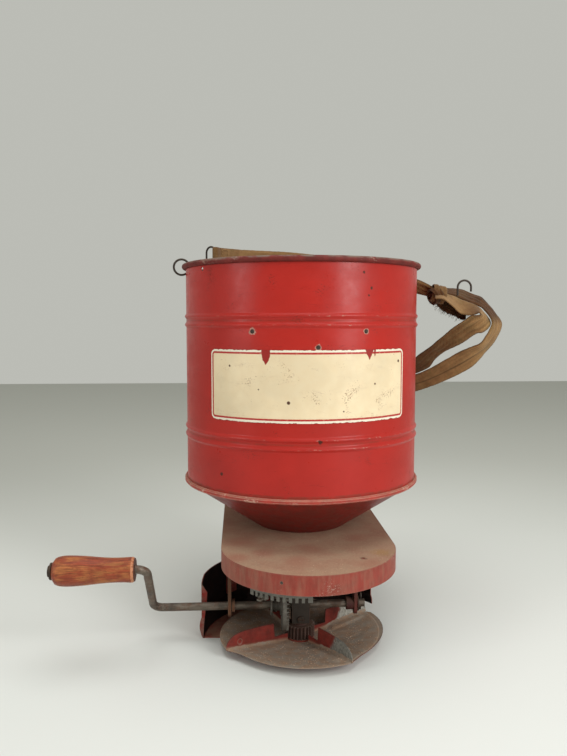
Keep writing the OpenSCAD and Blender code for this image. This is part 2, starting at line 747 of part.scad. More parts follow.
// The screw whose tip runs in the spindle's groove and keeps the spindle up
module retaining_screw() {
    tip_len = 1;
    tip_r = (groove_high_z - groove_low_z) / 2 - screw_tip_gap;
    body_len = block_half - groove_neck_r - screw_tip_gap - tip_len;
    head_r = 3.2;
    head_h = 1.8;
    color("dimgray") at_retaining_screw() difference() {
        union() {
            cylinder(r = tip_r, h = tip_len + join, $fn = 32);
            translate([0, 0, tip_len]) cylinder(r = screw_r, h = body_len + join, $fn = 32);
            translate([0, 0, tip_len + body_len]) cylinder(r = head_r, h = head_h, $fn = 48);
        }
        translate([-head_r - 1, -screw_slot_w / 2, tip_len + body_len + head_h / 2])
            cube([2 * head_r + 2, screw_slot_w, head_h]);
    }
}

module agitator_bush() {
    color("dimgray") at_hopper() difference() {
        translate([0, 0, arm_high_z + 0.4])
            cylinder(r = 8, h = deck_bottom - arm_high_z - 0.4);
        translate([0, 0, agitator_low_z]) cylinder(r = agitator_pin_r + run_gap, h = 20);
    }
}

module gate_plate() {
    arm_half = 4.5;
    tab_t = 1.6;
    nib_w = 4;
    nib_past = 4;
    nib_low = quadrant_low_z - 2.6;
    color("gray") rotate([0, 0, gate_rest_angle]) difference() {
        union() {
            translate([0, 0, gate_low]) cylinder(r = gate_ring_r, h = gate_t);
            ring_sector(gate_in_r, gate_out_r, gate_low, gate_top, -gate_half_angle,
                        gate_half_angle);
            translate([0, -arm_half, gate_low]) cube([gate_in_r + 1, 2 * arm_half, gate_t]);
            translate([-tab_out_r, -arm_half, gate_low]) cube([tab_out_r, 2 * arm_half, gate_t]);
            translate([-tab_out_r, -arm_half, nib_low])
                cube([tab_t, 2 * arm_half, gate_top - nib_low]);
            translate([-quadrant_r - nib_past, -nib_w / 2, nib_low])
                cube([quadrant_r + nib_past - tab_out_r + tab_t, nib_w, tab_t]);
        }
        translate([0, 0, gate_low - 1]) cylinder(r = post_r + run_gap, h = gate_t + 2);
    }
}

module agitator_wheel() {
    fingers = 6;
    finger_w = 7;
    reach = funnel_foot_r - funnel_lip_w - 3;
    color("gray") at_hopper() difference() {
        union() {
            translate([0, 0, wheel_low_z]) cylinder(r = 12, h = wheel_t);
            for (i = [0:fingers - 1]) rotate([0, 0, 360 / fingers * i]) {
                translate([0, -finger_w / 2, wheel_low_z])
                    cube([reach - finger_w / 2, finger_w, wheel_t]);
                translate([reach - finger_w / 2, 0, wheel_low_z])
                    cylinder(r = finger_w / 2, h = wheel_t);
            }
        }
        translate([0, 0, deck_z - 1]) cylinder(r = agitator_pin_r + seat_gap, h = 6);
    }
}

module agitator_pin() {
    head_z = wheel_low_z + wheel_t;
    tail_z = agitator_low_z - arm_nut_h - 1.6;
    color("dimgray") at_hopper() {
        translate([0, 0, tail_z]) cylinder(r = agitator_pin_r, h = head_z - tail_z + join);
        translate([0, 0, head_z]) cylinder(r1 = 7, r2 = 5, h = 2.5);
    }
}

// A flat arm from the agitator's pin to a pad over the gear, with a leg down from the pad
module agitator_arm() {
    eye_r = 9;
    pad_edge = 0.5;
    color("gray") {
        translate([0, 0, agitator_low_z]) linear_extrude(height = arm_t) difference() {
            union() {
                at_hopper() {
                    circle(r = eye_r);
                    rotate([0, 0, arm_turn]) translate([0, -arm_w / 2])
                        square([arm_reach, arm_w]);
                }
                translate([-leg_x - leg_t / 2 - pad_edge, -leg_w / 2 - pad_edge])
                    square([leg_t + 4, leg_w + 2 * pad_edge]);
            }
            at_hopper() circle(r = agitator_pin_r + seat_gap);
        }
        translate([-leg_x - leg_t / 2, -leg_w / 2, leg_low_z])
            cube([leg_t, leg_w, arm_high_z - arm_t / 2 - leg_low_z]);
    }
}

module arm_nut() {
    color("dimgray") at_hopper() translate([0, 0, agitator_low_z - arm_nut_h]) difference() {
        cylinder(r = arm_nut_r, h = arm_nut_h, $fn = 6);
        translate([0, 0, -1]) cylinder(r = agitator_pin_r + seat_gap, h = arm_nut_h + 2);
    }
}

// Crank parts are built with the arm straight up from the shaft, then leaned to the front
module at_crank() {
    translate([0, 0, shaft_z]) rotate([90 - arm_angle, 0, 0]) children();
}

module quarter_bend(x, z, from) {
    translate([x, 0, z]) rotate([90, 0, 0]) rotate([0, 0, from])
        rotate_extrude(angle = 90) translate([bend_r, 0]) circle(r = rod_r, $fn = 48);
}

module crank_rod() {
    color("sienna") difference() {
        at_crank() {
            along_x(bend_r - arm_x, right_end_x, rod_r);
            quarter_bend(bend_r - arm_x, bend_r, 180);
            translate([-arm_x, 0, bend_r]) cylinder(r = rod_r, h = throw - 2 * bend_r);
            quarter_bend(-arm_x - bend_r, throw - bend_r, 0);
            translate([0, 0, throw]) along_x(-rod_end_x, -arm_x - bend_r, rod_r);
        }
        translate([cotter_x, 0, 0]) cylinder(r = cotter_hole_r, h = 2 * shaft_z, $fn = 32);
    }
}

module face_gear() {
    low_r = rod_r + seat_gap;
    tooth_angle = 360 / face_teeth;
    color("silver") translate([0, 0, shaft_z]) rotate([0, -90, 0]) difference() {
        union() {
            rotate_extrude() polygon([
                [low_r, tooth_base_x], [face_out_r, tooth_base_x], [face_out_r, web_x],
                [drum_r, web_x], [drum_r, web_x + ridge_w],
                [groove_r, web_x + ridge_w], [groove_r, web_x + drum_len / 2 - 0.8],
                [mid_ridge_r, web_x + drum_len / 2 - 0.8],
                [mid_ridge_r, web_x + drum_len / 2 + 0.8],
                [groove_r, web_x + drum_len / 2 + 0.8], [groove_r, drum_x - ridge_w],
                [drum_r, drum_x - ridge_w], [drum_r, drum_x], [low_r, drum_x]
            ]);
            for (i = [0:face_teeth - 1]) rotate([0, 0, tooth_angle * (i + 0.5)])
                translate([face_in_r, 0, 0]) rotate([90, 0, 90])
                    linear_extrude(height = tooth_face) face_tooth();
        }
        at_gear_screw() cylinder(r = screw_r + seat_gap, h = drum_r + 2, $fn = 32);
    }
}

// Section of a face-gear tooth: x across the tooth, y towards the drum
module face_tooth() {
    polygon([
        [-face_tooth_base, tooth_base_x + join], [-face_tooth_tip, tooth_tip_x],
        [face_tooth_tip, tooth_tip_x], [face_tooth_base, tooth_base_x + join]
    ]);
}

// The set screw's place in the drum: local +Z points out of the drum
module at_gear_screw() {
    rotate([0, 0, 215]) translate([0, 0, drum_x - ridge_w - screw_r - 0.3]) rotate([0, 90, 0])
        children();
}

module gear_screw() {
    screw_len = groove_r + 0.6 - rod_r;
    color("dimgray") translate([0, 0, shaft_z]) rotate([0, -90, 0]) at_gear_screw()
        translate([0, 0, rod_r + 0.1]) difference() {
            cylinder(r = screw_r, h = screw_len, $fn = 32);
            translate([-3, -screw_slot_w / 2, screw_len - 0.8]) cube([6, screw_slot_w, 2]);
        }
}

module shaft_ring(x0, x1, r) {
    translate([0, 0, shaft_z]) difference() {
        along_x(x0, x1, r);
        along_x(x0 - 1, x1 + 1, rod_r + seat_gap);
    }
}

module left_collar() {
    collar_x = -hanger_left_x + hanger_gap;
    color("saddlebrown") shaft_ring(collar_x, collar_x + left_collar_w, collar_r);
}

module right_collar() {
    collar_x = hanger_right_x - hanger_gap;
    color("maroon") shaft_ring(collar_x - right_collar_w, collar_x, collar_r);
}

module end_washer() {
    washer_x = hanger_right_x + hanger_t + hanger_gap;
    color("dimgray") shaft_ring(washer_x, washer_x + washer_t, washer_r);
}

// The pin stands in its hole, with its eye flat against a plane across the shaft
module cotter_pin() {
    eye_r = 2.4;
    tail = rod_r + 3;
    neck = rod_r + 1.5;
    color("dimgray") translate([cotter_x, 0, shaft_z]) {
        translate([0, 0, -tail]) cylinder(r = cotter_r, h = tail + neck, $fn = 32);
        translate([0, 0, neck + eye_r]) rotate([0, 90, 0]) torus(eye_r, cotter_r);
    }
}

// The washer and the upset end of the rod that keep the grip on
module grip_washer() {
    washer_x = -grip_left_x - grip_end_gap;
    color("dimgray") translate(grip_axis) difference() {
        union() {
            along_x(washer_x - grip_washer_t, washer_x, grip_washer_r);
            along_x(-rod_end_x - rod_tip_t, washer_x, rod_tip_r);
        }
        along_x(-rod_end_x, -grip_left_x, rod_r + seat_gap);
    }
}

// Radius of the grip at t, from 0 at its right end to 1 at its left end
function grip_profile(t) =
    t < 0.22 ? grip_waist_r + 0.7 * pow(1 - t / 0.22, 2) :
    t < 0.82 ? grip_waist_r + (grip_r - grip_waist_r) * (1 - cos(180 * (t - 0.22) / 0.6)) / 2 :
    grip_r * (0.62 + 0.38 * sqrt(max(0, 1 - pow((t - 0.82) / 0.18, 2.4))));

module wood_grip() {
    steps = 30;
    chamfer = 1.4;
    outline = concat(
        [[grip_profile(0) - chamfer, 0]],
        [for (i = [1:steps]) [grip_profile(i / steps), grip_len * i / steps]]
    );
    color("sandybrown") translate(grip_axis - [grip_right_x, 0, 0]) rotate([0, -90, 0])
        rotate_extrude() polygon(concat(
            [[rod_r + 0.08, 0]], outline, [[rod_r + 0.08, grip_len]]
        ));
}

edge_dip = 7.5;
front_dip = 15;
front_bay = 2;
// How far the plate's edge comes out again towards the next vane, for each bay
edge_rises = [9.5, 4, 0, 9.5];
function eased(t) = let (u = min(max(t, 0), 1)) u * u * (3 - 2 * u);

// Outline radius of the fan plate in one bay, t from 0 at its first vane to 1 at the next
function plate_edge(bay, t) =
    bay == front_bay ? fan_r - 1 - front_dip * pow(sin(180 * t), 0.6)
    : fan_r - edge_dip + edge_rises[bay] * eased((t - 0.2) / 0.7)
      + (t < 0.15 ? 5.5 * pow(1 - t / 0.15, 1.3) : 0);

vane_rivet_radii = [42, 66];
vane_rivet_r = 1.5;

module at_vane(k) {
    rotate([0, 0, vane_phase + 90 * k]) children();
}

module at_vane_rivets() {
    for (k = [0:3]) for (r = vane_rivet_radii)
        at_vane(k) translate([r, -vane_t / 2 - vane_foot_w / 2, dish_z(r)]) children();
}

module fan_plate() {
    steps = 20;
    reach = fan_r + 5;
    edge = [
        for (k = [0:3]) for (i = [0:steps - 1]) let (a = vane_phase + 90 * (k + i / steps))
            plate_edge(k, i / steps) * [cos(a), sin(a)]
    ];
    color("tan") difference() {
        intersection() {
            rotate_extrude($fn = 180) polygon([
                [spindle_r + seat_gap, floor_z - fan_t], [dish_in_r, floor_z - fan_t],
                [reach, dish_z(reach) - fan_t], [reach, dish_z(reach)],
                [dish_in_r, floor_z], [spindle_r + seat_gap, floor_z]
            ]);
            linear_extrude(height = dish_z(reach) + fan_t) polygon(edge);
        }
        at_vane_rivets() translate([0, 0, -5])
            cylinder(r = vane_rivet_r + seat_gap, h = 9, $fn = 32);
    }
}

vane_tip_z = dish_z(fan_r) + 1;
vane_inner_drop = 1;

// Height of a vane's top edge at radius r, outside the gear's drum
function vane_edge(r) =
    r < vane_peak_r
    ? vane_top - vane_inner_drop * pow((vane_peak_r - r) / (vane_peak_r - vane_full_r), 2)
    : vane_tip_z + (vane_top - vane_tip_z)
      * sqrt(max(0, 1 - pow((r - vane_peak_r) / (fan_r - vane_peak_r), 3.2)));

// Radii at which a vane's top edge has a point
vane_edge_radii = concat(
    [for (i = [0:3]) vane_full_r + (vane_peak_r - vane_full_r) * i / 4],
    [for (a = [0:9:90]) vane_peak_r + (fan_r - vane_peak_r) * sin(a)]
);

module vane(k) {
    foot_in = 36;
    foot_out = 74;
    foot_z = foot_gap;
    color("firebrick") at_vane(k) difference() {
        union() {
            translate([0, vane_t / 2, 0]) rotate([90, 0, 0]) linear_extrude(height = vane_t)
                polygon(concat(
                    [[vane_in_r, dish_z(vane_in_r)], [vane_in_r, vane_low_top],
                     [vane_low_r, vane_low_top]],
                    [for (r = vane_edge_radii) [r, vane_edge(r)]],
                    [[fan_r, dish_z(fan_r)]]
                ));
            rotate([90, 0, 0]) linear_extrude(height = vane_foot_w + vane_t / 2) polygon([
                [foot_in, dish_z(foot_in) + foot_z], [foot_out, dish_z(foot_out) + foot_z],
                [foot_out, dish_z(foot_out) + foot_z + vane_t],
                [foot_in, dish_z(foot_in) + foot_z + vane_t]
            ]);
        }
        for (r = vane_rivet_radii)
            translate([r, -vane_t / 2 - vane_foot_w / 2, dish_z(r) - 5])
                cylinder(r = vane_rivet_r + seat_gap, h = 12, $fn = 32);
    }
}

module vane_1() { vane(0); }
module vane_2() { vane(1); }
module vane_3() { vane(2); }
module vane_4() { vane(3); }

module vane_rivets() {
    low = fan_t + 0.3;
    grip = fan_t + foot_gap + vane_t + 0.6;
    color("firebrick") at_vane_rivets() translate([0, 0, -low])
        rivet(vane_rivet_r, grip, 2.6, 0.6);
}

module fan_hub() {
    color("firebrick") difference() {
        translate([0, 0, floor_z]) cylinder(r = hub_r, h = hub_flange_h);
        cylinder(r = spindle_r + seat_gap, h = 2 * shaft_z);
    }
}

module pinion() {
    collar_top = block_low_z - 0.4;
    color("rosybrown") difference() {
        union() {
            translate([0, 0, pinion_low_z])
                cylinder(r = pinion_root_r, h = pinion_high_z - pinion_low_z);
            translate([0, 0, pinion_high_z - join])
                cylinder(r = 7.5, h = collar_top - pinion_high_z + join);
            for (i = [0:pinion_teeth - 1]) rotate([0, 0, 360 / pinion_teeth * i])
                translate([0, 0, pinion_low_z])
                    linear_extrude(height = pinion_high_z - pinion_low_z) pinion_tooth();
        }
        cylinder(r = spindle_r + seat_gap, h = 2 * shaft_z);
    }
}

// A pinion tooth along +X
module pinion_tooth() {
    inner_r = pinion_root_r - 0.6;
    polygon([
        [inner_r, -pinion_tooth_root], [pinion_r, -pinion_tooth_pitch],
        [pinion_tip_r, -pinion_tooth_tip], [pinion_tip_r, pinion_tooth_tip],
        [pinion_r, pinion_tooth_pitch], [inner_r, pinion_tooth_root]
    ]);
}

module spindle() {
    head_r = 7;
    head_h = floor_z - fan_t;
    color("dimgray") rotate_extrude() polygon([
        [0, 0], [head_r, 0], [head_r, head_h], [spindle_r, head_h],
        [spindle_r, groove_low_z], [groove_neck_r, groove_low_z],
        [groove_neck_r, groove_high_z], [spindle_r, groove_high_z],
        [spindle_r, spindle_top_z], [0, spindle_top_z]
    ]);
}

module rim_loop() {
    color("dimgray") at_hopper() rotate([0, 0, rim_loop_angle])
        translate([curl_R + 3.2, 0, curl_z]) rotate([90, 0, 0]) torus(rim_loop_r, loop_wire_r);
}

module at_strap_loop() {
    at_hopper() rotate([0, 0, strap_loop_angle]) translate([strap_loop_R, 0, curl_z])
        children();
}

module strap_loop() {
    color("dimgray") at_strap_loop() {
        for (end = [0, 1]) translate([0, 0, end * strap_loop_h]) rotate([90, 0, 0])
            rotate([0, 0, 180 * (1 - end)]) rotate_extrude(angle = 180)
                translate([strap_loop_r, 0]) circle(r = loop_wire_r, $fn = 48);
        for (side = [-1, 1]) translate([side * strap_loop_r, 0, 0])
            cylinder(r = loop_wire_r, h = strap_loop_h, $fn = 48);
    }
}

// The strap's sewn end round the inner leg of its loop
module strap_hem() {
    hem_low = rim_z + 1 - curl_z;
    hem_len = strap_loop_h - hem_low;
    color("tan") at_strap_loop() translate([-strap_loop_r, 0, hem_low]) difference() {
        cylinder(r = strap_hem_r, h = hem_len);
        translate([0, 0, -1]) cylinder(r = strap_hem_in_r, h = hem_len + 2);
    }
}

module carrying_strap() {
    color("tan") webbing(smooth(strap_path, 3));
}

module strap_hook() {
    wire = 1.2;
    hook_r = 8;
    leg = 10;
    gap = 0.4;
    bundle = by_rim([11, 72.6, -22]);
    color("dimgray") translate(bundle - [0, bundle_t / 2 + wire + gap, 0]) {
        rotate([90, 0, 0]) rotate_extrude(angle = 180)
            translate([hook_r, 0]) circle(r = wire, $fn = 48);
        translate([-hook_r, 0, -leg]) cylinder(r = wire, h = leg, $fn = 48);
        translate([hook_r, 0, -leg / 2]) cylinder(r = wire, h = leg / 2, $fn = 48);
    }
}

hopper_shell();
rim_wire();
hem_ring();
hopper_rivets();
label_plate();
funnel();
deck();
feed_throat();
gate_rail();
notched_quadrant();
rear_guard();
guard_lip();
guard_brackets();
guard_rivets();
left_hanger();
right_hanger();
spindle_block();
gate_post();
retaining_screw();
agitator_bush();
gate_plate();
agitator_wheel();
agitator_pin();
agitator_arm();
arm_nut();
crank_rod();
face_gear();
gear_screw();
left_collar();
right_collar();
end_washer();
cotter_pin();
grip_washer();
wood_grip();
fan_plate();
vane_1();
vane_2();
vane_3();
vane_4();
vane_rivets();
fan_hub();
pinion();
spindle();
rim_loop();
strap_loop();
strap_hem();
carrying_strap();
strap_hook();
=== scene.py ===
import json
import math

import bmesh
import bpy
from mathutils import Matrix, Vector, noise

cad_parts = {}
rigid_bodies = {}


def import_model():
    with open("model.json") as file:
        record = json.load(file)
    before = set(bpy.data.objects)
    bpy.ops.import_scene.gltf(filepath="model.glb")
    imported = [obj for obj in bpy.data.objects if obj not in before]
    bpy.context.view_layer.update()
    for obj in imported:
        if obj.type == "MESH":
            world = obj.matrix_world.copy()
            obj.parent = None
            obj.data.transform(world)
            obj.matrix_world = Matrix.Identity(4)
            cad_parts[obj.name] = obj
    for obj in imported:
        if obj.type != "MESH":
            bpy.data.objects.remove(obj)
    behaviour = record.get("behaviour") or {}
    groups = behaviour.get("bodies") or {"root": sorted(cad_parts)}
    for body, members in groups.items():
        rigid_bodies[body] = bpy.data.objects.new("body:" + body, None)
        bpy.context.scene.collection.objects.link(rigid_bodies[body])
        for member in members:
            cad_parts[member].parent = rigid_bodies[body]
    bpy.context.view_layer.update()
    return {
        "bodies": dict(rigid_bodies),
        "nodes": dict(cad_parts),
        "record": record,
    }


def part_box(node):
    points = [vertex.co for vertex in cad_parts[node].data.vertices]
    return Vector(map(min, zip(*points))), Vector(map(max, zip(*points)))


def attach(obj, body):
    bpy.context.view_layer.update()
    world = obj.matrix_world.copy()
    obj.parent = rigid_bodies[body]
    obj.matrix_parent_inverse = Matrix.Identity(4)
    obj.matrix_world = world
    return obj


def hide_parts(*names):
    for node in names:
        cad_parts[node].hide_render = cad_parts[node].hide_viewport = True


bl_info = {
    "name": "Broadcast spreader",
    "version": (1, 1, 0),
    "blender": (4, 5, 0),
    "location": "3D Viewport > Sidebar > Spreader",
    "description": "Finishes a hand-cranked broadcast spreader around its packed frame",
    "category": "Object",
}

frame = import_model()
NODES = frame["nodes"]
BODIES = frame["bodies"]
MM = 0.001


def box_mm(node):
    """Lowest and highest corners of a node, in millimetres"""
    low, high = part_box(node)
    return low / MM, high / MM


# Places of the frame's main forms, in millimetres: some worked out from its nodes, the rest given

HOPPER_LOW, HOPPER_HIGH = box_mm("hopper_shell")
HOPPER_X = (HOPPER_LOW.x + HOPPER_HIGH.x) / 2
HOPPER_Y = (HOPPER_LOW.y + HOPPER_HIGH.y) / 2
HEM_Z = HOPPER_LOW.z
RIM_Z = HOPPER_HIGH.z
RIM_SECTION = 3.0
RIM_RING = (HOPPER_HIGH.x - HOPPER_LOW.x) / 2 - RIM_SECTION
HOPPER_R = RIM_RING - 1.3
RIDGES = (51.5, 60.5, 170.5, 179.5)
RIDGE_H = 1.6
RIDGE_HALF = 3.4
LABEL_LOW, LABEL_HIGH = box_mm("label_plate")
LABEL_MID_Z = (LABEL_LOW.z + LABEL_HIGH.z) / 2
LABEL_HALF_H = (LABEL_HIGH.z - LABEL_LOW.z) / 2
LABEL_HALF_ARC = math.radians(49.5) * (HOPPER_R + 0.4)
LABEL_MID_ANGLE = -90.0
DECK_Z = box_mm("deck")[1].z
GRIP_LOW, GRIP_HIGH = box_mm("wood_grip")
GRIP_MID = (GRIP_LOW + GRIP_HIGH) / 2
FAN_R = 86.0
FLOOR_Z = 1.8
DISH_IN_R = 12.0
DISH_OUT_R = 80.0
DISH_RISE = 7.2
VANE_PHASE = 29.5
EDGE_DIP = 7.5


class SpreaderSizes(bpy.types.PropertyGroup):
    """Sizes of what is dressed on the frame"""
    floor_half: bpy.props.FloatProperty(
        name="Floor", description="Half the width of the floor", default=3.0, unit="LENGTH")
    web_thickness: bpy.props.FloatProperty(
        name="Webbing thickness", description="Thickness of the cotton webbing",
        default=0.0021, unit="LENGTH")
    weave_pitch: bpy.props.FloatProperty(
        name="Weave pitch", description="Distance between the ribs of the weave",
        default=0.0011, unit="LENGTH")
    web_step: bpy.props.FloatProperty(
        name="Webbing step", description="Distance between the rings of a band",
        default=0.0025, unit="LENGTH")
    dust_depth: bpy.props.FloatProperty(
        name="Dust depth", description="Depth of the dust that lies on the fan",
        default=0.0005, unit="LENGTH")
    seam_width: bpy.props.FloatProperty(
        name="Seam width", description="Width of the hopper's folded seam",
        default=0.008, unit="LENGTH")


def colour(name, description, value):
    return bpy.props.FloatVectorProperty(
        name=name, description=description, subtype="COLOR", size=3, default=value)


class SpreaderColours(bpy.types.PropertyGroup):
    """Base colours of the finishes"""
    enamel: colour("Enamel", "Red enamel of the hopper", (0.400, 0.016, 0.010))
    old_enamel: colour("Old enamel", "Dull red enamel of the lower parts",
                       (0.235, 0.020, 0.014))
    rim: colour("Rim", "Dark red-brown of the handled rim", (0.135, 0.014, 0.010))
    primer: colour("Primer", "Pinkish white of fresh chips", (0.62, 0.36, 0.28))
    cream: colour("Cream", "Aged cream of the plate", (0.80, 0.66, 0.44))
    border: colour("Border", "Warm white edge of the plate", (0.80, 0.74, 0.60))
    line: colour("Line", "Red line round the plate", (0.42, 0.030, 0.025))
    dust: colour("Dust", "Beige seed dust", (0.36, 0.230, 0.150))
    zinc: colour("Zinc", "Dull grey of zinc and galvanised sheet", (0.16, 0.155, 0.135))
    steel: colour("Steel", "Aged steel of the rod", (0.150, 0.120, 0.092))
    dark_steel: colour("Dark steel", "Blackened small steel parts", (0.040, 0.032, 0.026))
    rust: colour("Rust", "Rust on bare steel", (0.115, 0.042, 0.018))
    paint: colour("Grip paint", "Red-orange paint of the grip", (0.260, 0.048, 0.018))
    wood: colour("Wood", "Worn wood of the grip", (0.460, 0.170, 0.050))
    cotton: colour("Cotton", "Clean khaki cotton", (0.360, 0.205, 0.085))
    soil: colour("Soil", "Soiled brown cotton", (0.060, 0.024, 0.008))


# Short calls for building one node tree

def rgba(value, gain=1.0):
    return (value[0] * gain, value[1] * gain, value[2] * gain, 1.0)


class Tree:
    """A node tree, with short calls that add a node and give back its socket"""

    def __init__(self, tree):
        self.tree = tree
        self.nodes = tree.nodes
        self.links = tree.links

    def put(self, value, socket):
        """Links a socket, or sets a plain value on it"""
        if isinstance(value, bpy.types.NodeSocket):
            self.links.new(value, socket)
        else:
            socket.default_value = value

    def add(self, kind, inputs=(), **settings):
        node = self.nodes.new(kind)
        for name, value in settings.items():
            setattr(node, name, value)
        for name, value in dict(inputs).items():
            self.put(value, node.inputs[name])
        return node

    def calc(self, operation, *values):
        node = self.nodes.new("ShaderNodeMath")
        node.operation = operation
        for index, value in enumerate(values):
            self.put(value, node.inputs[index])
        return node.outputs[0]

    def vector(self, operation, first, second):
        node = self.nodes.new("ShaderNodeVectorMath")
        node.operation = operation
        self.put(first, node.inputs[0])
        self.put(second, node.inputs[3 if operation == "SCALE" else 1])
        return node.outputs["Value" if operation in ("DOT_PRODUCT", "DISTANCE") else "Vector"]

    def mix(self, factor, first, second, blend="MIX"):
        node = self.nodes.new("ShaderNodeMix")
        node.data_type = "RGBA"
        node.blend_type = blend
        for index, value in ((0, factor), (6, first), (7, second)):
            self.put(value, node.inputs[index])
        return node.outputs[2]

    def blend(self, factor, first, second):
        """A plain number between first and second"""
        node = self.nodes.new("ShaderNodeMix")
        for index, value in ((0, factor), (2, first), (3, second)):
            self.put(value, node.inputs[index])
        return node.outputs[0]

    def ramp(self, value, low, high):
        """A soft mask that goes from 0 at low to 1 at high"""
        node = self.nodes.new("ShaderNodeMapRange")
        node.interpolation_type = "SMOOTHSTEP"
        for name, given in (("Value", value), ("From Min", low), ("From Max", high)):
            self.put(given, node.inputs[name])
        return node.outputs["Result"]

    def noise(self, place, size, detail=4.0, roughness=0.55):
        """Smooth noise with features of about the given size"""
        node = self.nodes.new("ShaderNodeTexNoise")
        node.inputs["Detail"].default_value = detail
        node.inputs["Roughness"].default_value = roughness
        node.inputs["Scale"].default_value = 1.0 / size
        self.put(place, node.inputs["Vector"])
        return node.outputs["Fac"]

    def stretch(self, place, scale, move=(0.0, 0.0, 0.0)):
        node = self.add("ShaderNodeMapping", {"Vector": place, "Scale": scale, "Location": move})
        return node.outputs[0]

    def split(self, vector):
        node = self.add("ShaderNodeSeparateXYZ", {"Vector": vector})
        return node.outputs[0], node.outputs[1], node.outputs[2]

    def join(self, x, y, z=0.0):
        return self.add("ShaderNodeCombineXYZ", {"X": x, "Y": y, "Z": z}).outputs[0]

    def place(self):
        """Object coordinates in millimetres"""
        return self.vector("SCALE", self.nodes.new("ShaderNodeTexCoord").outputs["Object"],
                           1.0 / MM)

    def normal(self):
        return self.nodes.new("ShaderNodeNewGeometry").outputs["Normal"]

    def group(self, builder, **inputs):
        """A shared group with its inputs set by name, with _ for a space"""
        node = self.nodes.new("ShaderNodeGroup")
        node.node_tree = shared_group(builder)
        for name, value in inputs.items():
            self.put(value, node.inputs[name.replace("_", " ")])
        return node.outputs

    def relief(self, height, depth, normal=None, strength=1.0, invert=False):
        """A bump of the given depth in millimetres"""
        inputs = {"Height": height, "Distance": depth * MM, "Strength": strength}
        if normal is not None:
            inputs["Normal"] = normal
        return self.add("ShaderNodeBump", inputs, invert=invert).outputs["Normal"]


# Shared effects, as shader node groups. Lengths are in millimetres.

GROUPS = {}


def shared_group(builder):
    """The group that a builder makes, built once"""
    if builder not in GROUPS:
        name, inputs, outputs, fill = builder()
        group = bpy.data.node_groups.new(name, "ShaderNodeTree")
        for label, kind, value in inputs:
            socket = group.interface.new_socket(
                name=label, in_out="INPUT", socket_type="NodeSocket" + kind)
            if value is not None:
                socket.default_value = value
        for label, kind in outputs:
            group.interface.new_socket(
                name=label, in_out="OUTPUT", socket_type="NodeSocket" + kind)
        tree = Tree(group)
        start = group.nodes.new("NodeGroupInput").outputs
        end = group.nodes.new("NodeGroupOutput").inputs
        for label, socket in fill(tree, start).items():
            tree.put(socket, end[label])
        GROUPS[builder] = group
    return GROUPS[builder]


def cloudy_tone():
    """Broad and fine variation of tone, from 0 to 1"""
    def fill(t, given):
        broad = t.noise(given["Place"], 55.0, 3.0)
        near = t.noise(given["Place"], 9.0, 5.0, 0.6)
        return {"Broad": t.ramp(broad, 0.34, 0.66), "Near": t.ramp(near, 0.3, 0.7)}
    return ("cloudy tone", [("Place", "Vector", None)],
            [("Broad", "Float"), ("Near", "Float")], fill)


def paint_chips():
    """Small ragged chips, gathered where a coarser noise is high"""
    def fill(t, given):
        fine = t.noise(t.vector("SCALE", given["Place"], t.calc("DIVIDE", 1.0, given["Size"])),
                       1.0, 3.0, 0.7)
        where = t.ramp(t.noise(given["Place"], 26.0, 3.0), 0.42, 0.72)
        limit = t.calc("SUBTRACT", 0.86, t.calc(
            "MULTIPLY", given["Share"], t.calc("ADD", where, 0.25)))
        return {"Chips": t.ramp(fine, limit, t.calc("ADD", limit, 0.03))}
    return ("paint chips",
            [("Place", "Vector", None), ("Size", "Float", 2.0), ("Share", "Float", 0.2)],
            [("Chips", "Float")], fill)


def edge_wear():
    """Wear along sharp edges, broken up by noise"""
    def fill(t, given):
        bevel = t.add("ShaderNodeBevel", {
            "Radius": t.calc("MULTIPLY", given["Width"], MM)}, samples=4).outputs[0]
        bend = t.calc("SUBTRACT", 1.0, t.vector("DOT_PRODUCT", bevel, t.normal()))
        rough = t.noise(given["Place"], 3.5, 4.0, 0.7)
        reach = t.calc("MULTIPLY", bend, t.calc("MULTIPLY", rough, given["Amount"]))
        return {"Worn": t.ramp(reach, 0.02, 0.09), "Edge": t.ramp(bend, 0.01, 0.08)}
    return ("edge wear",
            [("Place", "Vector", None), ("Width", "Float", 1.2), ("Amount", "Float", 1.0)],
            [("Worn", "Float"), ("Edge", "Float")], fill)


def settled_dust():
    """Dust that lies on what looks up, thin on walls and gone below"""
    def fill(t, given):
        up = t.ramp(t.split(t.normal())[2], 0.1, 0.85)
        cloud = t.ramp(t.noise(given["Place"], 14.0, 6.0, 0.62), 0.28, 0.62)
        grain = t.noise(given["Place"], 0.7, 2.0)
        level = t.calc("ADD", t.calc("MULTIPLY", up, given["Lying"]), given["Clinging"])
        mask = t.calc("MULTIPLY", level, t.blend(given["Broken"], 1.0, cloud))
        return {"Dust": t.calc("MINIMUM", mask, 1.0), "Grain": grain}
    return ("settled dust",
            [("Place", "Vector", None), ("Lying", "Float", 0.7), ("Clinging", "Float", 0.1),
             ("Broken", "Float", 0.8)],
            [("Dust", "Float"), ("Grain", "Float")], fill)


def hair_scratches():
    """Thin broken scratches, longer along the axis that the place is squeezed in"""
    def fill(t, given):
        lines = t.noise(given["Place"], 5.0, 2.0, 0.5)
        thin = t.calc("ABSOLUTE", t.calc("SUBTRACT", lines, 0.5))
        breaks = t.ramp(t.noise(given["Place"], 11.0, 3.0), 0.5, 0.62)
        line = t.calc("SUBTRACT", 1.0, t.ramp(thin, 0.002, given["Width"]))
        return {"Scratches": t.calc("MULTIPLY", line, breaks)}
    return ("hair scratches", [("Place", "Vector", None), ("Width", "Float", 0.012)],
            [("Scratches", "Float")], fill)


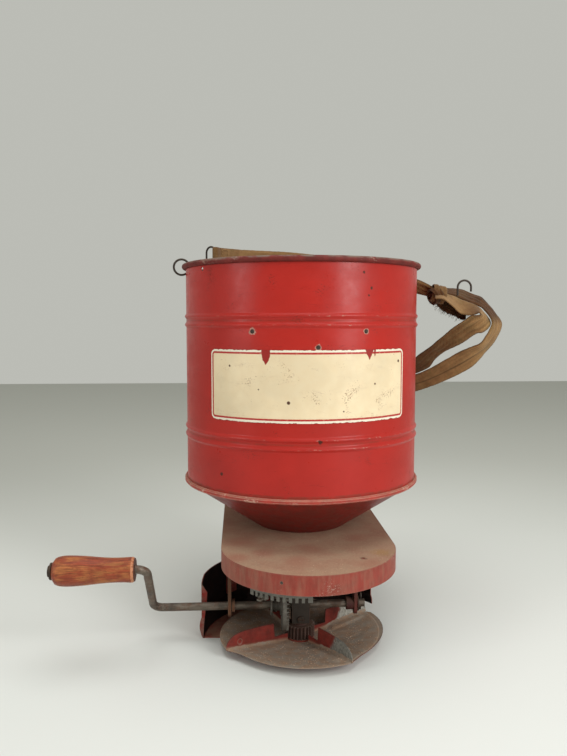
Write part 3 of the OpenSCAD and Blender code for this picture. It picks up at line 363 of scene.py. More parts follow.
def ragged_spot():
    """A soft-edged spot of a given radius round a point, with a ragged outline"""
    def fill(t, given):
        away = t.vector("DISTANCE", given["Place"], given["Centre"])
        rough = t.calc("MULTIPLY", t.calc(
            "SUBTRACT", t.noise(given["Place"], 3.0, 4.0, 0.65), 0.5), given["Ragged"])
        share = t.calc("ADD", t.calc("DIVIDE", away, given["Radius"]), rough)
        return {"Spot": t.calc("SUBTRACT", 1.0, t.ramp(share, given["Core"], 1.0))}
    return ("ragged spot",
            [("Place", "Vector", None), ("Centre", "Vector", None), ("Radius", "Float", 5.0),
             ("Core", "Float", 0.7), ("Ragged", "Float", 1.0)],
            [("Spot", "Float")], fill)


def drum_place():
    """Angle, arc, height and outward share of a point, about the hopper's axis"""
    def fill(t, given):
        x, y, z = t.split(given["Place"])
        from_x = t.calc("SUBTRACT", x, HOPPER_X)
        from_y = t.calc("SUBTRACT", y, HOPPER_Y)
        radius = t.calc("SQRT", t.calc("ADD", t.calc("MULTIPLY", from_x, from_x),
                                       t.calc("MULTIPLY", from_y, from_y)))
        # The angle is 0 at the front, so that its cut is at the back
        angle = t.calc("ARCTAN2", from_x, t.calc("MULTIPLY", from_y, -1.0))
        out = t.vector("DOT_PRODUCT", t.normal(), t.join(
            t.calc("DIVIDE", from_x, radius), t.calc("DIVIDE", from_y, radius)))
        return {"Arc": t.calc("MULTIPLY", angle, HOPPER_R),
                "Height": t.calc("SUBTRACT", z, HEM_Z), "Radius": radius, "Outward": out}
    return ("drum place", [("Place", "Vector", None)],
            [("Arc", "Float"), ("Height", "Float"), ("Radius", "Float"), ("Outward", "Float")],
            fill)


def rounded_plate():
    """Distance of a flat point inside the edge of a plate with round corners"""
    def fill(t, given):
        corner = given["Corner"]
        sides = []
        for across, half in (("Across", "Half width"), ("Up", "Half height")):
            past = t.calc("SUBTRACT", t.calc("ABSOLUTE", given[across]),
                          t.calc("SUBTRACT", given[half], corner))
            sides.append(past)
        outer = [t.calc("MAXIMUM", side, 0.0) for side in sides]
        away = t.calc("SQRT", t.calc("ADD", t.calc("MULTIPLY", outer[0], outer[0]),
                                     t.calc("MULTIPLY", outer[1], outer[1])))
        within = t.calc("MINIMUM", t.calc("MAXIMUM", sides[0], sides[1]), 0.0)
        return {"Inside": t.calc("SUBTRACT", corner, t.calc("ADD", away, within))}
    return ("rounded plate",
            [("Across", "Float", 0.0), ("Up", "Float", 0.0), ("Half width", "Float", 100.0),
             ("Half height", "Float", 35.0), ("Corner", "Float", 5.0)],
            [("Inside", "Float")], fill)


def peeled_tongue():
    """A tapered tongue that is peeled away from an edge, with a ragged outline"""
    def fill(t, given):
        flat = t.join(given["Across"], given["Down"], 0.0)
        rough = t.calc("MULTIPLY", t.calc("SUBTRACT", t.noise(flat, 2.6, 4.0, 0.6), 0.5),
                       given["Ragged"])
        taper = t.calc("SUBTRACT", 1.0, t.calc("POWER", t.calc(
            "MAXIMUM", t.calc("DIVIDE", given["Down"], given["Depth"]), 0.0),
            given["Blunt"]))
        half = t.calc("MULTIPLY", t.calc("MULTIPLY", given["Width"], 0.5), taper)
        away = t.calc("SUBTRACT", t.calc("ABSOLUTE", t.calc(
            "SUBTRACT", given["Across"], given["Middle"])), half)
        return {"Peeled": t.calc("SUBTRACT", 1.0, t.ramp(t.calc("ADD", away, rough), -0.25, 0.35))}
    return ("peeled tongue",
            [("Across", "Float", 0.0), ("Down", "Float", 0.0), ("Middle", "Float", 0.0),
             ("Width", "Float", 7.0), ("Depth", "Float", 13.0), ("Blunt", "Float", 2.0),
             ("Ragged", "Float", 2.5)],
            [("Peeled", "Float")], fill)


def canvas_weave():
    """Raised ribs of a plain weave, from a flat place along and across the band"""
    def fill(t, given):
        along, across, _ = t.split(given["Flat"])
        turns = t.calc("DIVIDE", math.pi, given["Pitch"])
        warp = t.calc("SINE", t.calc("MULTIPLY", across, turns))
        weft = t.calc("SINE", t.calc("MULTIPLY", along, turns))
        over = t.calc("MULTIPLY", warp, weft)
        height = t.calc("MULTIPLY_ADD", over, 0.5, 0.5)
        fuzz = t.noise(t.join(along, across, 0.0), 0.6, 3.0, 0.6)
        return {"Height": t.blend(0.3, height, fuzz), "Rib": t.calc("ABSOLUTE", warp)}
    return ("canvas weave", [("Flat", "Vector", None), ("Pitch", "Float", 1.1)],
            [("Height", "Float"), ("Rib", "Float")], fill)


# Finishes

def new_finish(name, specular=0.4, metallic=0.0):
    """A material, its tree and its shader"""
    material = bpy.data.materials.new(name)
    material.use_nodes = True
    shader = material.node_tree.nodes["Principled BSDF"]
    shader.inputs["Specular IOR Level"].default_value = specular
    shader.inputs["Metallic"].default_value = metallic
    return material, Tree(material.node_tree), shader


def set_surface(t, shader, tint, roughness, normal):
    t.put(tint, shader.inputs["Base Color"])
    t.put(roughness, shader.inputs["Roughness"])
    t.put(normal, shader.inputs["Normal"])


def any_of(t, masks):
    """The highest of several masks"""
    found = masks[0]
    for mask in masks[1:]:
        found = t.calc("MAXIMUM", found, mask)
    return found


def all_of(t, masks):
    """The product of several masks"""
    found = masks[0]
    for mask in masks[1:]:
        found = t.calc("MULTIPLY", found, mask)
    return found


def band_mask(t, value, middle, half, soft=1.0):
    """1 where the value lies within half of the middle, fading over soft"""
    away = t.calc("ABSOLUTE", t.calc("SUBTRACT", value, middle))
    return t.calc("SUBTRACT", 1.0, t.ramp(away, half, half + soft))


def dust_tint(t, colours, grain, gain=1.0):
    """Beige dust with a fine grain"""
    return t.mix(t.ramp(grain, 0.35, 0.65), rgba(colours.dust, 0.86 * gain),
                 rgba(colours.dust, 1.1 * gain))


def worn_metal(name, colours, base, under, gloss=0.5, metallic=0.0, wear=1.0, chips=0.12,
               lying=0.5, clinging=0.1, contrast=0.22, dust_gain=1.0):
    """Painted or bare metal with cloudy tone, chips, worn edges and settled dust"""
    material, t, shader = new_finish(name, 0.35, metallic)
    place = t.place()
    tone = t.group(cloudy_tone, Place=place)
    tint = t.mix(tone["Near"], rgba(base, 1.0 - contrast), rgba(base, 1.0 + contrast))
    tint = t.mix(t.calc("MULTIPLY", tone["Broad"], 0.3), tint, rgba(base, 0.55))
    chipped = t.group(paint_chips, Place=place, Share=chips)["Chips"]
    edge = t.group(edge_wear, Place=place, Width=0.8, Amount=wear)
    bare = t.calc("MAXIMUM", chipped, edge["Worn"])
    tint = t.mix(bare, tint, rgba(under))
    dust = t.group(settled_dust, Place=place, Lying=lying, Clinging=clinging)
    tint = t.mix(dust["Dust"], tint, dust_tint(t, colours, dust["Grain"], dust_gain))
    rough = t.blend(dust["Dust"], t.blend(tone["Near"], gloss, gloss + 0.15), 0.92)
    normal = t.relief(bare, 0.15, invert=True)
    normal = t.relief(t.noise(place, 1.1, 3.0, 0.6), 0.05, normal)
    set_surface(t, shader, tint, rough, normal)
    return material


def hopper_finish(colours):
    """Glossy red enamel, with a dark worn rim, worn ridge crests with a painted highlight, painted shade
    between the ridges and a dull inside
    """
    material, t, shader = new_finish("hopper enamel", 0.30)
    place = t.place()
    drum = t.group(drum_place, Place=place)
    arc, height = drum["Arc"], drum["Height"]
    wall = t.join(arc, height)
    tone = t.group(cloudy_tone, Place=place)
    enamel = t.mix(tone["Broad"], rgba(colours.enamel, 0.93), rgba(colours.enamel, 1.06))
    fade = t.ramp(t.noise(t.stretch(wall, (0.6, 1.6, 1.0)), 60.0, 5.0, 0.6), 0.42, 0.7)
    enamel = t.mix(t.calc("MULTIPLY", fade, 0.22), enamel, rgba(colours.enamel, 0.72))

    # Darker towards rust along a line just above the hem, and painted shade in the valley between each pair
    # of ridges
    hem_line_and_valley_shade_masks = [band_mask(t, height, 4.8, 0.5, 1.8)]
    for low, high in (RIDGES[:2], RIDGES[2:]):
        hem_line_and_valley_shade_masks.append(t.calc("MULTIPLY", band_mask(t, height, (low + high) / 2, 0.3, 1.2), 0.6))
    hem_line_and_valley_shade = t.calc("MULTIPLY", any_of(t, hem_line_and_valley_shade_masks), t.ramp(t.noise(wall, 9.0, 4.0), 0.3, 0.6))
    enamel = t.mix(t.calc("MULTIPLY", hem_line_and_valley_shade, 0.5), enamel, rgba(colours.rust, 0.8))

    # Pale primer on the ridge crests: partly worn paint, partly a painted highlight where the crests catch
    # the light, strongest over the right front
    crests = any_of(t, [band_mask(t, height, ridge, 0.25, 0.8) for ridge in RIDGES])
    rubbed = t.ramp(t.noise(t.stretch(wall, (0.35, 1.0, 1.0)), 2.4, 4.0, 0.7), 0.57, 0.63)
    highlit_crest_span = t.calc("MULTIPLY", t.ramp(arc, -20.0, 15.0),
                         t.calc("SUBTRACT", 1.0, t.ramp(arc, 62.0, 92.0)))
    rubbed = all_of(t, [crests, rubbed, t.blend(highlit_crest_span, 0.25, 1.0)])
    few = t.group(paint_chips, Place=wall, Size=1.3, Share=0.24)["Chips"]
    halos = []
    for rivet_arc, rivet_height, reach in ((-58.3, 164.6, 4.2), (55.0, 164.6, 3.4),
                                           (5.8, 149.6, 3.4)):
        halos.append(t.group(ragged_spot, Place=wall, Centre=(rivet_arc, rivet_height, 0.0),
                             Radius=reach, Ragged=1.6)["Spot"])
    # pale holds the painted crest highlight together with the worn chips round the rivets
    pale = any_of(t, [rubbed] + halos)
    enamel = t.mix(t.calc("MULTIPLY", pale, 0.85), enamel, rgba(colours.primer, 0.75))
    rust = any_of(t, [few] + [
        t.group(ragged_spot, Place=wall, Centre=(spot_arc, spot_height, 0.0), Radius=reach,
                Ragged=1.5)["Spot"]
        for spot_arc, spot_height, reach in ((7.8, 59.0, 2.6), (-96.0, 22.0, 2.2),
                                             (61.0, 206.0, 1.8), (58.0, 199.0, 1.3),
                                             (52.0, 221.0, 1.5), (-70.0, 120.0, 1.2))])
    enamel = t.mix(t.calc("MULTIPLY", rust, 0.9), enamel, rgba(colours.rust, 0.35))
    hairs = t.group(hair_scratches, Place=t.stretch(wall, (0.18, 1.0, 1.0)))["Scratches"]
    enamel = t.mix(t.calc("MULTIPLY", hairs, 0.35), enamel, rgba(colours.enamel, 0.4))

    inside = t.calc("SUBTRACT", 1.0, t.ramp(drum["Outward"], -0.5, -0.2))
    streaks = t.ramp(t.noise(t.stretch(wall, (1.0, 0.08, 1.0)), 4.0, 5.0, 0.6), 0.4, 0.65)
    dull = t.mix(streaks, rgba(colours.old_enamel, 1.0), rgba(colours.old_enamel, 0.55))
    residue = t.calc("MULTIPLY", t.ramp(t.noise(place, 8.0, 6.0, 0.7), 0.35, 0.7),
                     t.calc("SUBTRACT", 1.0, t.ramp(height, 10.0, 90.0)))
    dull = t.mix(t.calc("MULTIPLY", residue, 0.7), dull, rgba(colours.dust, 0.8))
    enamel = t.mix(inside, enamel, dull)

    _, _, up = t.split(t.normal())
    from_ring = t.calc("SUBTRACT", drum["Radius"], RIM_RING)
    above_ring = t.calc("SUBTRACT", height, RIM_Z - RIM_SECTION - HEM_Z)
    ring = t.calc("SQRT", t.calc("ADD", t.calc("MULTIPLY", from_ring, from_ring),
                                 t.calc("MULTIPLY", above_ring, above_ring)))
    rim = t.calc("SUBTRACT", 1.0, t.ramp(ring, 3.15, 3.5))
    along_rim = t.stretch(place, (0.45, 0.45, 1.0))
    worn_top = all_of(t, [t.ramp(up, 0.1, 0.8),
                          t.ramp(t.noise(along_rim, 6.0, 5.0, 0.65), 0.40, 0.56)])
    rim_tint = t.mix(tone["Near"], rgba(colours.rim, 0.75), rgba(colours.rim, 1.25))
    rim_tint = t.mix(t.calc("MULTIPLY", worn_top, 0.8), rim_tint, rgba(colours.steel, 1.2))
    rim_chips = t.group(paint_chips, Place=place, Size=1.6, Share=0.3)["Chips"]
    rim_tint = t.mix(t.calc("MULTIPLY", rim_chips, 0.6), rim_tint, rgba(colours.primer, 0.6))
    tint = t.mix(rim, enamel, rim_tint)

    gloss = t.blend(tone["Near"], 0.27, 0.36)
    gloss = t.blend(t.calc("MULTIPLY", fade, 0.6), gloss, 0.48)
    gloss = t.blend(any_of(t, [pale, rust, rim, inside]), gloss, 0.62)
    normal = t.relief(any_of(t, [t.calc("MULTIPLY", pale, 0.6), rust]), 0.12, invert=True)
    normal = t.relief(t.noise(place, 34.0, 2.0), 0.35, normal)
    normal = t.relief(t.noise(place, 1.6, 3.0, 0.6), 0.022, normal)
    set_surface(t, shader, tint, gloss, normal)
    return material


def label_finish(colours):
    """Aged cream enamel with a white edge, a red line and places where it has peeled"""
    material, t, shader = new_finish("cream plate", 0.35)
    place = t.place()
    drum = t.group(drum_place, Place=place)
    arc = drum["Arc"]
    up = t.calc("SUBTRACT", drum["Height"], LABEL_MID_Z - HEM_Z)
    flat = t.join(arc, up)
    tone = t.group(cloudy_tone, Place=place)
    inside = t.group(rounded_plate, Across=arc, Up=up, Half_width=LABEL_HALF_ARC,
                     Half_height=LABEL_HALF_H, Corner=6.0)["Inside"]
    print_edge = t.calc("ADD", inside, t.calc(
        "MULTIPLY", t.calc("SUBTRACT", t.noise(flat, 1.2, 3.0), 0.5), 0.35))
    aged = t.mix(tone["Broad"], rgba(colours.cream, 1.04), rgba(colours.cream, 0.9))
    aged = t.mix(t.calc("MULTIPLY", tone["Near"], 0.25), aged,
                 (0.70, 0.52, 0.30, 1.0))
    on_line = t.calc("MULTIPLY", t.ramp(print_edge, 2.1, 2.35),
                     t.calc("SUBTRACT", 1.0, t.ramp(print_edge, 4.0, 4.25)))
    worn_line = t.ramp(t.noise(flat, 3.2, 5.0, 0.7), 0.36, 0.46)
    tint = t.mix(t.ramp(print_edge, 2.2, 2.4), rgba(colours.border), aged)
    tint = t.mix(t.calc("MULTIPLY", on_line, t.blend(worn_line, 0.7, 1.0)), tint,
                 rgba(colours.line))

    foxing = t.group(paint_chips, Place=flat, Size=1.5, Share=0.27)["Chips"]
    tint = t.mix(t.calc("MULTIPLY", foxing, 0.7), tint, (0.24, 0.10, 0.045, 1.0))
    smears = t.ramp(t.noise(t.stretch(flat, (0.5, 1.3, 1.0)), 16.0, 6.0, 0.65), 0.56, 0.72)
    tint = t.mix(t.calc("MULTIPLY", smears, 0.16), tint, (0.38, 0.24, 0.14, 1.0))
    hairs = t.group(hair_scratches, Place=t.stretch(flat, (0.4, 1.0, 1.0)),
                    Width=0.008)["Scratches"]
    tint = t.mix(t.calc("MULTIPLY", hairs, 0.35), tint, (0.40, 0.24, 0.15, 1.0))
    dots = [t.group(ragged_spot, Place=flat, Centre=(spot_arc, spot_up, 0.0), Radius=reach,
                    Ragged=1.2)["Spot"]
            for spot_arc, spot_up, reach in ((-22.4, -15.1, 1.9), (100.5, 22.6, 1.6),
                                             (66.0, 1.5, 1.1), (-84.0, 19.0, 1.2),
                                             (31.0, -24.0, 1.0), (-52.0, -3.0, 0.9))]
    tint = t.mix(any_of(t, dots), tint, (0.085, 0.035, 0.020, 1.0))

    down = t.calc("SUBTRACT", LABEL_HALF_H, up)
    peeled = [t.group(peeled_tongue, Across=arc, Down=down, Middle=middle, Width=width,
                      Depth=depth, Blunt=blunt)["Peeled"]
              for middle, width, depth, blunt in ((-44.5, 8.5, 14.0, 3.0),
                                                  (59.0, 9.5, 10.0, 1.2),
                                                  (65.5, 2.4, 7.5, 1.5))]
    nibbles = t.calc("SUBTRACT", t.noise(flat, 4.5, 4.0, 0.65), 0.5)
    edge_loss = t.calc("SUBTRACT", 1.0, t.ramp(
        t.calc("SUBTRACT", inside, t.calc("MULTIPLY", nibbles, 4.2)), 0.0, 0.25))
    gone = any_of(t, peeled + [edge_loss])
    rim_of_loss = t.calc("MULTIPLY", t.ramp(gone, 0.02, 0.3),
                         t.calc("SUBTRACT", 1.0, t.ramp(gone, 0.4, 0.9)))
    tint = t.mix(gone, tint, rgba(colours.enamel, 0.72))
    tint = t.mix(t.calc("MULTIPLY", rim_of_loss, 0.5), tint, rgba(colours.rust, 1.4))

    gloss = t.blend(any_of(t, [smears, gone]), 0.33, 0.5)
    normal = t.relief(gone, 0.22, invert=True)
    normal = t.relief(t.noise(place, 34.0, 2.0), 0.35, normal)
    normal = t.relief(t.noise(place, 1.3, 3.0, 0.6), 0.02, normal)
    set_surface(t, shader, tint, gloss, normal)
    return material


def deck_finish(colours):
    """Red enamel under even beige dust, rubbed clean on its edge and apron, with painted shade on its
    underside
    """
    material, t, shader = new_finish("deck enamel", 0.25)
    place = t.place()
    _, _, up = t.split(t.normal())
    x, y, z = t.split(place)
    tone = t.group(cloudy_tone, Place=place)
    edge = t.group(edge_wear, Place=place, Width=1.6, Amount=1.0)
    enamel = t.mix(tone["Near"], rgba(colours.old_enamel, 0.85),
                   rgba(colours.old_enamel, 1.15))
    streaks = t.ramp(t.noise(t.stretch(place, (1.0, 1.0, 0.2)), 5.0, 5.0, 0.6), 0.35, 0.7)
    film = t.calc("ADD", 0.10, t.calc("MULTIPLY", streaks, 0.22))
    left = t.calc("SUBTRACT", 1.0, t.ramp(x, -80.0, -20.0))
    film = t.calc("ADD", film, t.calc("MULTIPLY", left, 0.14))
    side = t.mix(film, enamel, rgba(colours.dust, 0.9))
    specks = t.group(paint_chips, Place=place, Size=1.2, Share=0.26)["Chips"]
    side = t.mix(t.calc("MULTIPLY", specks, 0.7), side, rgba(colours.primer, 0.75))
    side = t.mix(t.calc("MULTIPLY", edge["Worn"], 0.35), side, rgba(colours.primer, 0.5))

    grain = t.noise(place, 0.8, 3.0, 0.6)
    lying = dust_tint(t, colours, grain)
    cloud = t.ramp(t.noise(place, 24.0, 5.0, 0.6), 0.34, 0.7)
    thin = t.mix(0.42, rgba(colours.old_enamel, 1.1), rgba(colours.dust, 1.0))
    lying = t.mix(t.calc("MULTIPLY", cloud, 0.35), lying, thin)
    rubs = [t.group(ragged_spot, Place=place, Centre=(rub_x, rub_y, DECK_Z), Radius=reach,
                    Core=0.05, Ragged=0.7)["Spot"]
            for rub_x, rub_y, reach in ((-39.0, -23.0, 17.0), (9.0, -13.0, 24.0),
                                        (64.0, -56.0, 17.0), (60.0, 20.0, 20.0),
                                        (-58.0, 12.0, 24.0), (-8.0, -46.0, 20.0),
                                        (-62.0, -34.0, 18.0))]
    lying = t.mix(t.calc("MULTIPLY", any_of(t, rubs), 0.5), lying, thin)
    ochre = t.group(ragged_spot, Place=place, Centre=(78.0, -28.0, DECK_Z), Radius=15.0,
                    Core=0.1, Ragged=1.6)["Spot"]
    lying = t.mix(t.calc("MULTIPLY", ochre, 0.45), lying, (0.33, 0.18, 0.045, 1.0))
    hole = t.group(ragged_spot, Place=place, Centre=(57.0, -44.0, DECK_Z), Radius=4.6,
                   Core=0.2, Ragged=1.4)["Spot"]
    lying = t.mix(t.calc("MULTIPLY", hole, 0.7), lying, (0.045, 0.022, 0.012, 1.0))
    flakes = t.group(paint_chips, Place=place, Size=1.7, Share=0.22)["Chips"]
    lying = t.mix(t.calc("MULTIPLY", flakes, 0.5), lying, rgba(colours.primer, 0.85))

    on_top = t.calc("MULTIPLY", t.ramp(up, 0.5, 0.8), t.calc(
        "SUBTRACT", 1.0, t.calc("MULTIPLY", edge["Edge"], 0.75)))
    # Faces that look down get the old enamel at about a third of its brightness: painted shade under the deck
    below = t.calc("SUBTRACT", 1.0, t.ramp(up, -0.8, -0.5))
    tint = t.mix(on_top, side, lying)
    tint = t.mix(below, tint, rgba(colours.old_enamel, 0.35))
    rough = t.blend(on_top, t.blend(film, 0.5, 0.85), 0.96)
    normal = t.relief(t.calc("MULTIPLY", grain, on_top), 0.12)
    normal = t.relief(specks, 0.12, normal, invert=True)
    normal = t.relief(t.noise(place, 1.5, 3.0, 0.6), 0.03, normal)
    set_surface(t, shader, tint, rough, normal)
    return material


def fan_plate_finish(colours):
    """Dust-covered sheet, dark at its bare edge and old red enamel below"""
    material, t, shader = new_finish("fan sheet", 0.25)
    place = t.place()
    _, _, up = t.split(t.normal())
    tone = t.group(cloudy_tone, Place=place)
    edge = t.group(edge_wear, Place=place, Width=0.9, Amount=1.0)
    grain = t.noise(place, 0.7, 3.0, 0.65)
    dust = t.mix(t.ramp(grain, 0.35, 0.65), rgba(colours.dust, 0.70), rgba(colours.dust, 0.95))
    grey = t.mix(tone["Near"], rgba(colours.zinc, 1.2), rgba(colours.zinc, 1.7))
    dust = t.mix(t.calc("MULTIPLY", tone["Broad"], 0.45), dust, grey)
    dark = t.ramp(t.noise(place, 6.0, 5.0, 0.65), 0.55, 0.75)
    dust = t.mix(t.calc("MULTIPLY", dark, 0.3), dust, rgba(colours.rust, 1.2))
    under = t.mix(tone["Near"], rgba(colours.old_enamel, 0.6), rgba(colours.old_enamel, 1.0))
    tint = t.mix(t.ramp(up, -0.2, 0.3), under, dust)
    tint = t.mix(edge["Edge"], tint, rgba(colours.dark_steel, 0.8))
    normal = t.relief(grain, 0.12)
    set_surface(t, shader, tint, t.blend(t.ramp(up, -0.2, 0.3), 0.55, 0.95), normal)
    return material


def vane_finish(name, colours, turn, bare_from, bare_gain, dent=None):
    """Deep red enamel that has worn to mottled grey metal past a distance from the hub"""
    material, t, shader = new_finish(name, 0.35)
    place = t.place()
    x, y, z = t.split(place)
    angle = math.radians(turn)
    along = t.calc("ADD", t.calc("MULTIPLY", x, math.cos(angle)),
                   t.calc("MULTIPLY", y, math.sin(angle)))
    tone = t.group(cloudy_tone, Place=place)
    enamel = t.mix(tone["Near"], rgba(colours.old_enamel, 0.5), rgba(colours.old_enamel, 0.95))
    above = t.calc("SUBTRACT", z, FLOOR_Z)
    above = t.calc("SUBTRACT", above, t.calc(
        "MULTIPLY", t.calc("SUBTRACT", along, DISH_IN_R), DISH_RISE / (DISH_OUT_R - DISH_IN_R)))
    wander = t.calc("MULTIPLY", t.calc("SUBTRACT", t.noise(place, 9.0, 4.0), 0.5), 14.0)
    past = t.calc("ADD", t.calc("ADD", along, wander), t.calc("MULTIPLY", above, -0.5))
    bare = t.ramp(past, bare_from - 1.5, bare_from + 2.5)
    mottle = t.ramp(t.noise(place, 2.4, 5.0, 0.7), 0.36, 0.66)
    metal = t.mix(mottle, rgba(colours.zinc, 0.75 * bare_gain),
                  rgba(colours.zinc, 1.5 * bare_gain))
    metal = t.mix(t.ramp(t.noise(place, 6.0, 4.0), 0.62, 0.74), metal,
                  rgba(colours.rust, 1.0))
    tint = t.mix(bare, enamel, metal)
    chips = t.group(paint_chips, Place=place, Size=1.6, Share=0.2)["Chips"]
    tint = t.mix(t.calc("MULTIPLY", chips, 0.6), tint, rgba(colours.zinc, 1.2))
    if dent is not None:
        reach = t.group(ragged_spot, Place=place, Centre=dent, Radius=3.4, Core=0.55,
                        Ragged=0.4)["Spot"]
        ring = t.calc("MULTIPLY", t.calc("MULTIPLY", reach, t.calc("SUBTRACT", 1.0, reach)), 4.0)
        tint = t.mix(t.calc("MULTIPLY", ring, 0.5), tint, rgba(colours.primer, 0.5))
    edge = t.group(edge_wear, Place=place, Width=0.7, Amount=0.8)
    tint = t.mix(edge["Edge"], tint, rgba(colours.dark_steel, 0.9))
    low = t.calc("SUBTRACT", 1.0, t.ramp(above, 0.4, 4.5))
    clouds = t.ramp(t.noise(place, 4.0, 5.0, 0.65), 0.2, 0.7)
    dusty = t.calc("ADD", t.calc("MULTIPLY", low, 0.85), t.calc("MULTIPLY", clouds, 0.08))
    tint = t.mix(t.calc("MINIMUM", dusty, 1.0), tint, rgba(colours.dust, 0.75))
    rough = t.blend(t.calc("MAXIMUM", bare, low), 0.45, 0.75)
    normal = t.relief(mottle, 0.06)
    if dent is not None:
        normal = t.relief(reach, 0.6, normal, invert=True)
    set_surface(t, shader, tint, rough, normal)
    return material


def guard_finish(colours):
    """Old red enamel, painted near black inside as shade, with a pale rubbed flange at its open end"""
    material, t, shader = new_finish("guard enamel", 0.2)
    place = t.place()
    x, y, z = t.split(place)
    normal_x, normal_y, up = t.split(t.normal())
    radius = t.calc("SQRT", t.calc("ADD", t.calc("MULTIPLY", x, x), t.calc("MULTIPLY", y, y)))
    out = t.calc("DIVIDE", t.calc("ADD", t.calc("MULTIPLY", x, normal_x),
                                  t.calc("MULTIPLY", y, normal_y)), radius)
    tone = t.group(cloudy_tone, Place=place)
    film = t.calc("MULTIPLY", tone["Near"], 0.35)
    outside = t.mix(tone["Near"], rgba(colours.old_enamel, 0.6), rgba(colours.old_enamel, 1.1))
    outside = t.mix(film, outside, rgba(colours.dust, 0.55))
    # Near black on the inward faces: painted shade in the guard's hollow
    painted_inside_shade = t.mix(tone["Near"], (0.004, 0.0015, 0.001, 1.0), (0.014, 0.005, 0.003, 1.0))
    tint = t.mix(t.ramp(out, -0.6, -0.3), painted_inside_shade, outside)
    flange = t.calc("MULTIPLY", t.calc("SUBTRACT", 1.0, t.ramp(x, -95.0, -94.0)),
                    t.ramp(t.calc("MULTIPLY", normal_y, -1.0), 0.5, 0.8))
    rubbed = t.mix(tone["Near"], rgba(colours.old_enamel, 1.0), rgba(colours.primer, 0.42))
    rubbed = t.mix(t.calc("MULTIPLY", t.ramp(z, 26.0, 8.0), 0.35), rubbed,
                   rgba(colours.rim, 0.6))
    tint = t.mix(flange, tint, rubbed)
    chips = t.group(paint_chips, Place=place, Size=2.2, Share=0.22)["Chips"]
    chips = t.calc("MULTIPLY", chips, t.blend(t.ramp(out, -0.6, -0.3), 0.1, 1.0))
    tint = t.mix(chips, tint, rgba(colours.rust, 0.5))
    edge = t.group(edge_wear, Place=place, Width=0.9, Amount=1.0)
    tint = t.mix(t.calc("MULTIPLY", edge["Worn"], 0.4), tint, rgba(colours.steel, 0.5))
    normal = t.relief(t.noise(place, 2.0, 4.0, 0.6), 0.05)
    set_surface(t, shader, tint, t.blend(flange, 0.7, 0.55), normal)
    return material


def grip_finish(colours):
    """Turned wood under worn red-orange paint, with its grain along the grip"""
    material, t, shader = new_finish("painted wood", 0.3)
    place = t.place()
    x, _, _ = t.split(place)
    from_right = t.calc("SUBTRACT", GRIP_HIGH.x, x)
    lengthwise = t.stretch(place, (0.07, 1.0, 1.0))
    grain = t.ramp(t.noise(lengthwise, 1.3, 5.0, 0.65), 0.34, 0.68)
    broad = t.ramp(t.noise(t.stretch(place, (0.3, 1.0, 1.0)), 7.0, 4.0, 0.6), 0.42, 0.6)
    wood = t.mix(grain, rgba(colours.wood, 0.6), rgba(colours.wood, 1.05))
    paint = t.mix(grain, rgba(colours.paint, 0.72), rgba(colours.paint, 1.2))
    right_patch = band_mask(t, from_right, 18.0, 12.0, 10.0)
    left_patch = band_mask(t, from_right, 56.0, 11.0, 9.0)
    patches = t.calc("MAXIMUM", right_patch, t.calc("MULTIPLY", left_patch, 0.9))
    worn = t.calc("MULTIPLY", broad, t.calc("ADD", 0.12, t.calc("MULTIPLY", patches, 0.62)))
    tint = t.mix(worn, paint, wood)
    darker = t.ramp(t.noise(lengthwise, 0.7, 4.0, 0.7), 0.60, 0.68)
    tint = t.mix(t.calc("MULTIPLY", darker, 0.55), tint, (0.050, 0.012, 0.005, 1.0))
    sooty = t.ramp(t.noise(place, 5.0, 5.0, 0.65), 0.52, 0.72)
    tint = t.mix(t.calc("MULTIPLY", sooty, 0.35), tint, (0.055, 0.016, 0.008, 1.0))
    chipped_ring = t.calc("MULTIPLY", band_mask(t, from_right, 1.7, 0.8, 0.8),
                          t.ramp(t.noise(place, 3.0, 4.0, 0.6), 0.38, 0.5))
    tint = t.mix(t.calc("MULTIPLY", chipped_ring, 0.8), tint, (0.55, 0.24, 0.12, 1.0))
    end = t.calc("SUBTRACT", 1.0, t.ramp(from_right, 0.25, 0.9))
    tint = t.mix(t.calc("MULTIPLY", end, 0.8), tint, (0.030, 0.010, 0.006, 1.0))
    pores = t.group(hair_scratches, Place=t.stretch(place, (0.12, 1.0, 1.0)),
                    Width=0.02)["Scratches"]
    tint = t.mix(t.calc("MULTIPLY", pores, 0.5), tint, (0.060, 0.018, 0.008, 1.0))
    normal = t.relief(grain, 0.10)
    normal = t.relief(pores, 0.15, normal, invert=True)
    set_surface(t, shader, tint, t.blend(worn, 0.42, 0.62), normal)
    return material


def rod_finish(colours):
    """Aged round steel, drawn lengthwise, with brown patches and dark smudges"""
    material, t, shader = new_finish("aged rod", 0.4, 0.35)
    place = t.place()
    tone = t.group(cloudy_tone, Place=place)
    drawn = t.noise(t.stretch(place, (0.15, 1.0, 1.0)), 1.4, 4.0, 0.6)
    tint = t.mix(t.ramp(drawn, 0.35, 0.65), rgba(colours.steel, 0.75), rgba(colours.steel, 1.2))
    brown = t.ramp(t.noise(place, 7.0, 5.0, 0.65), 0.45, 0.62)
    tint = t.mix(t.calc("MULTIPLY", brown, 0.55), tint, rgba(colours.rust, 0.9))
    smudge = t.ramp(t.noise(place, 15.0, 4.0), 0.50, 0.66)
    tint = t.mix(t.calc("MULTIPLY", smudge, 0.55), tint, rgba(colours.dark_steel, 0.8))
    pits = t.group(paint_chips, Place=place, Size=1.1, Share=0.3)["Chips"]
    tint = t.mix(t.calc("MULTIPLY", pits, 0.7), tint, rgba(colours.dark_steel, 0.6))
    normal = t.relief(pits, 0.08, invert=True)
    normal = t.relief(drawn, 0.03, normal)
    set_surface(t, shader, tint, t.blend(tone["Near"], 0.42, 0.6), normal)
    return material


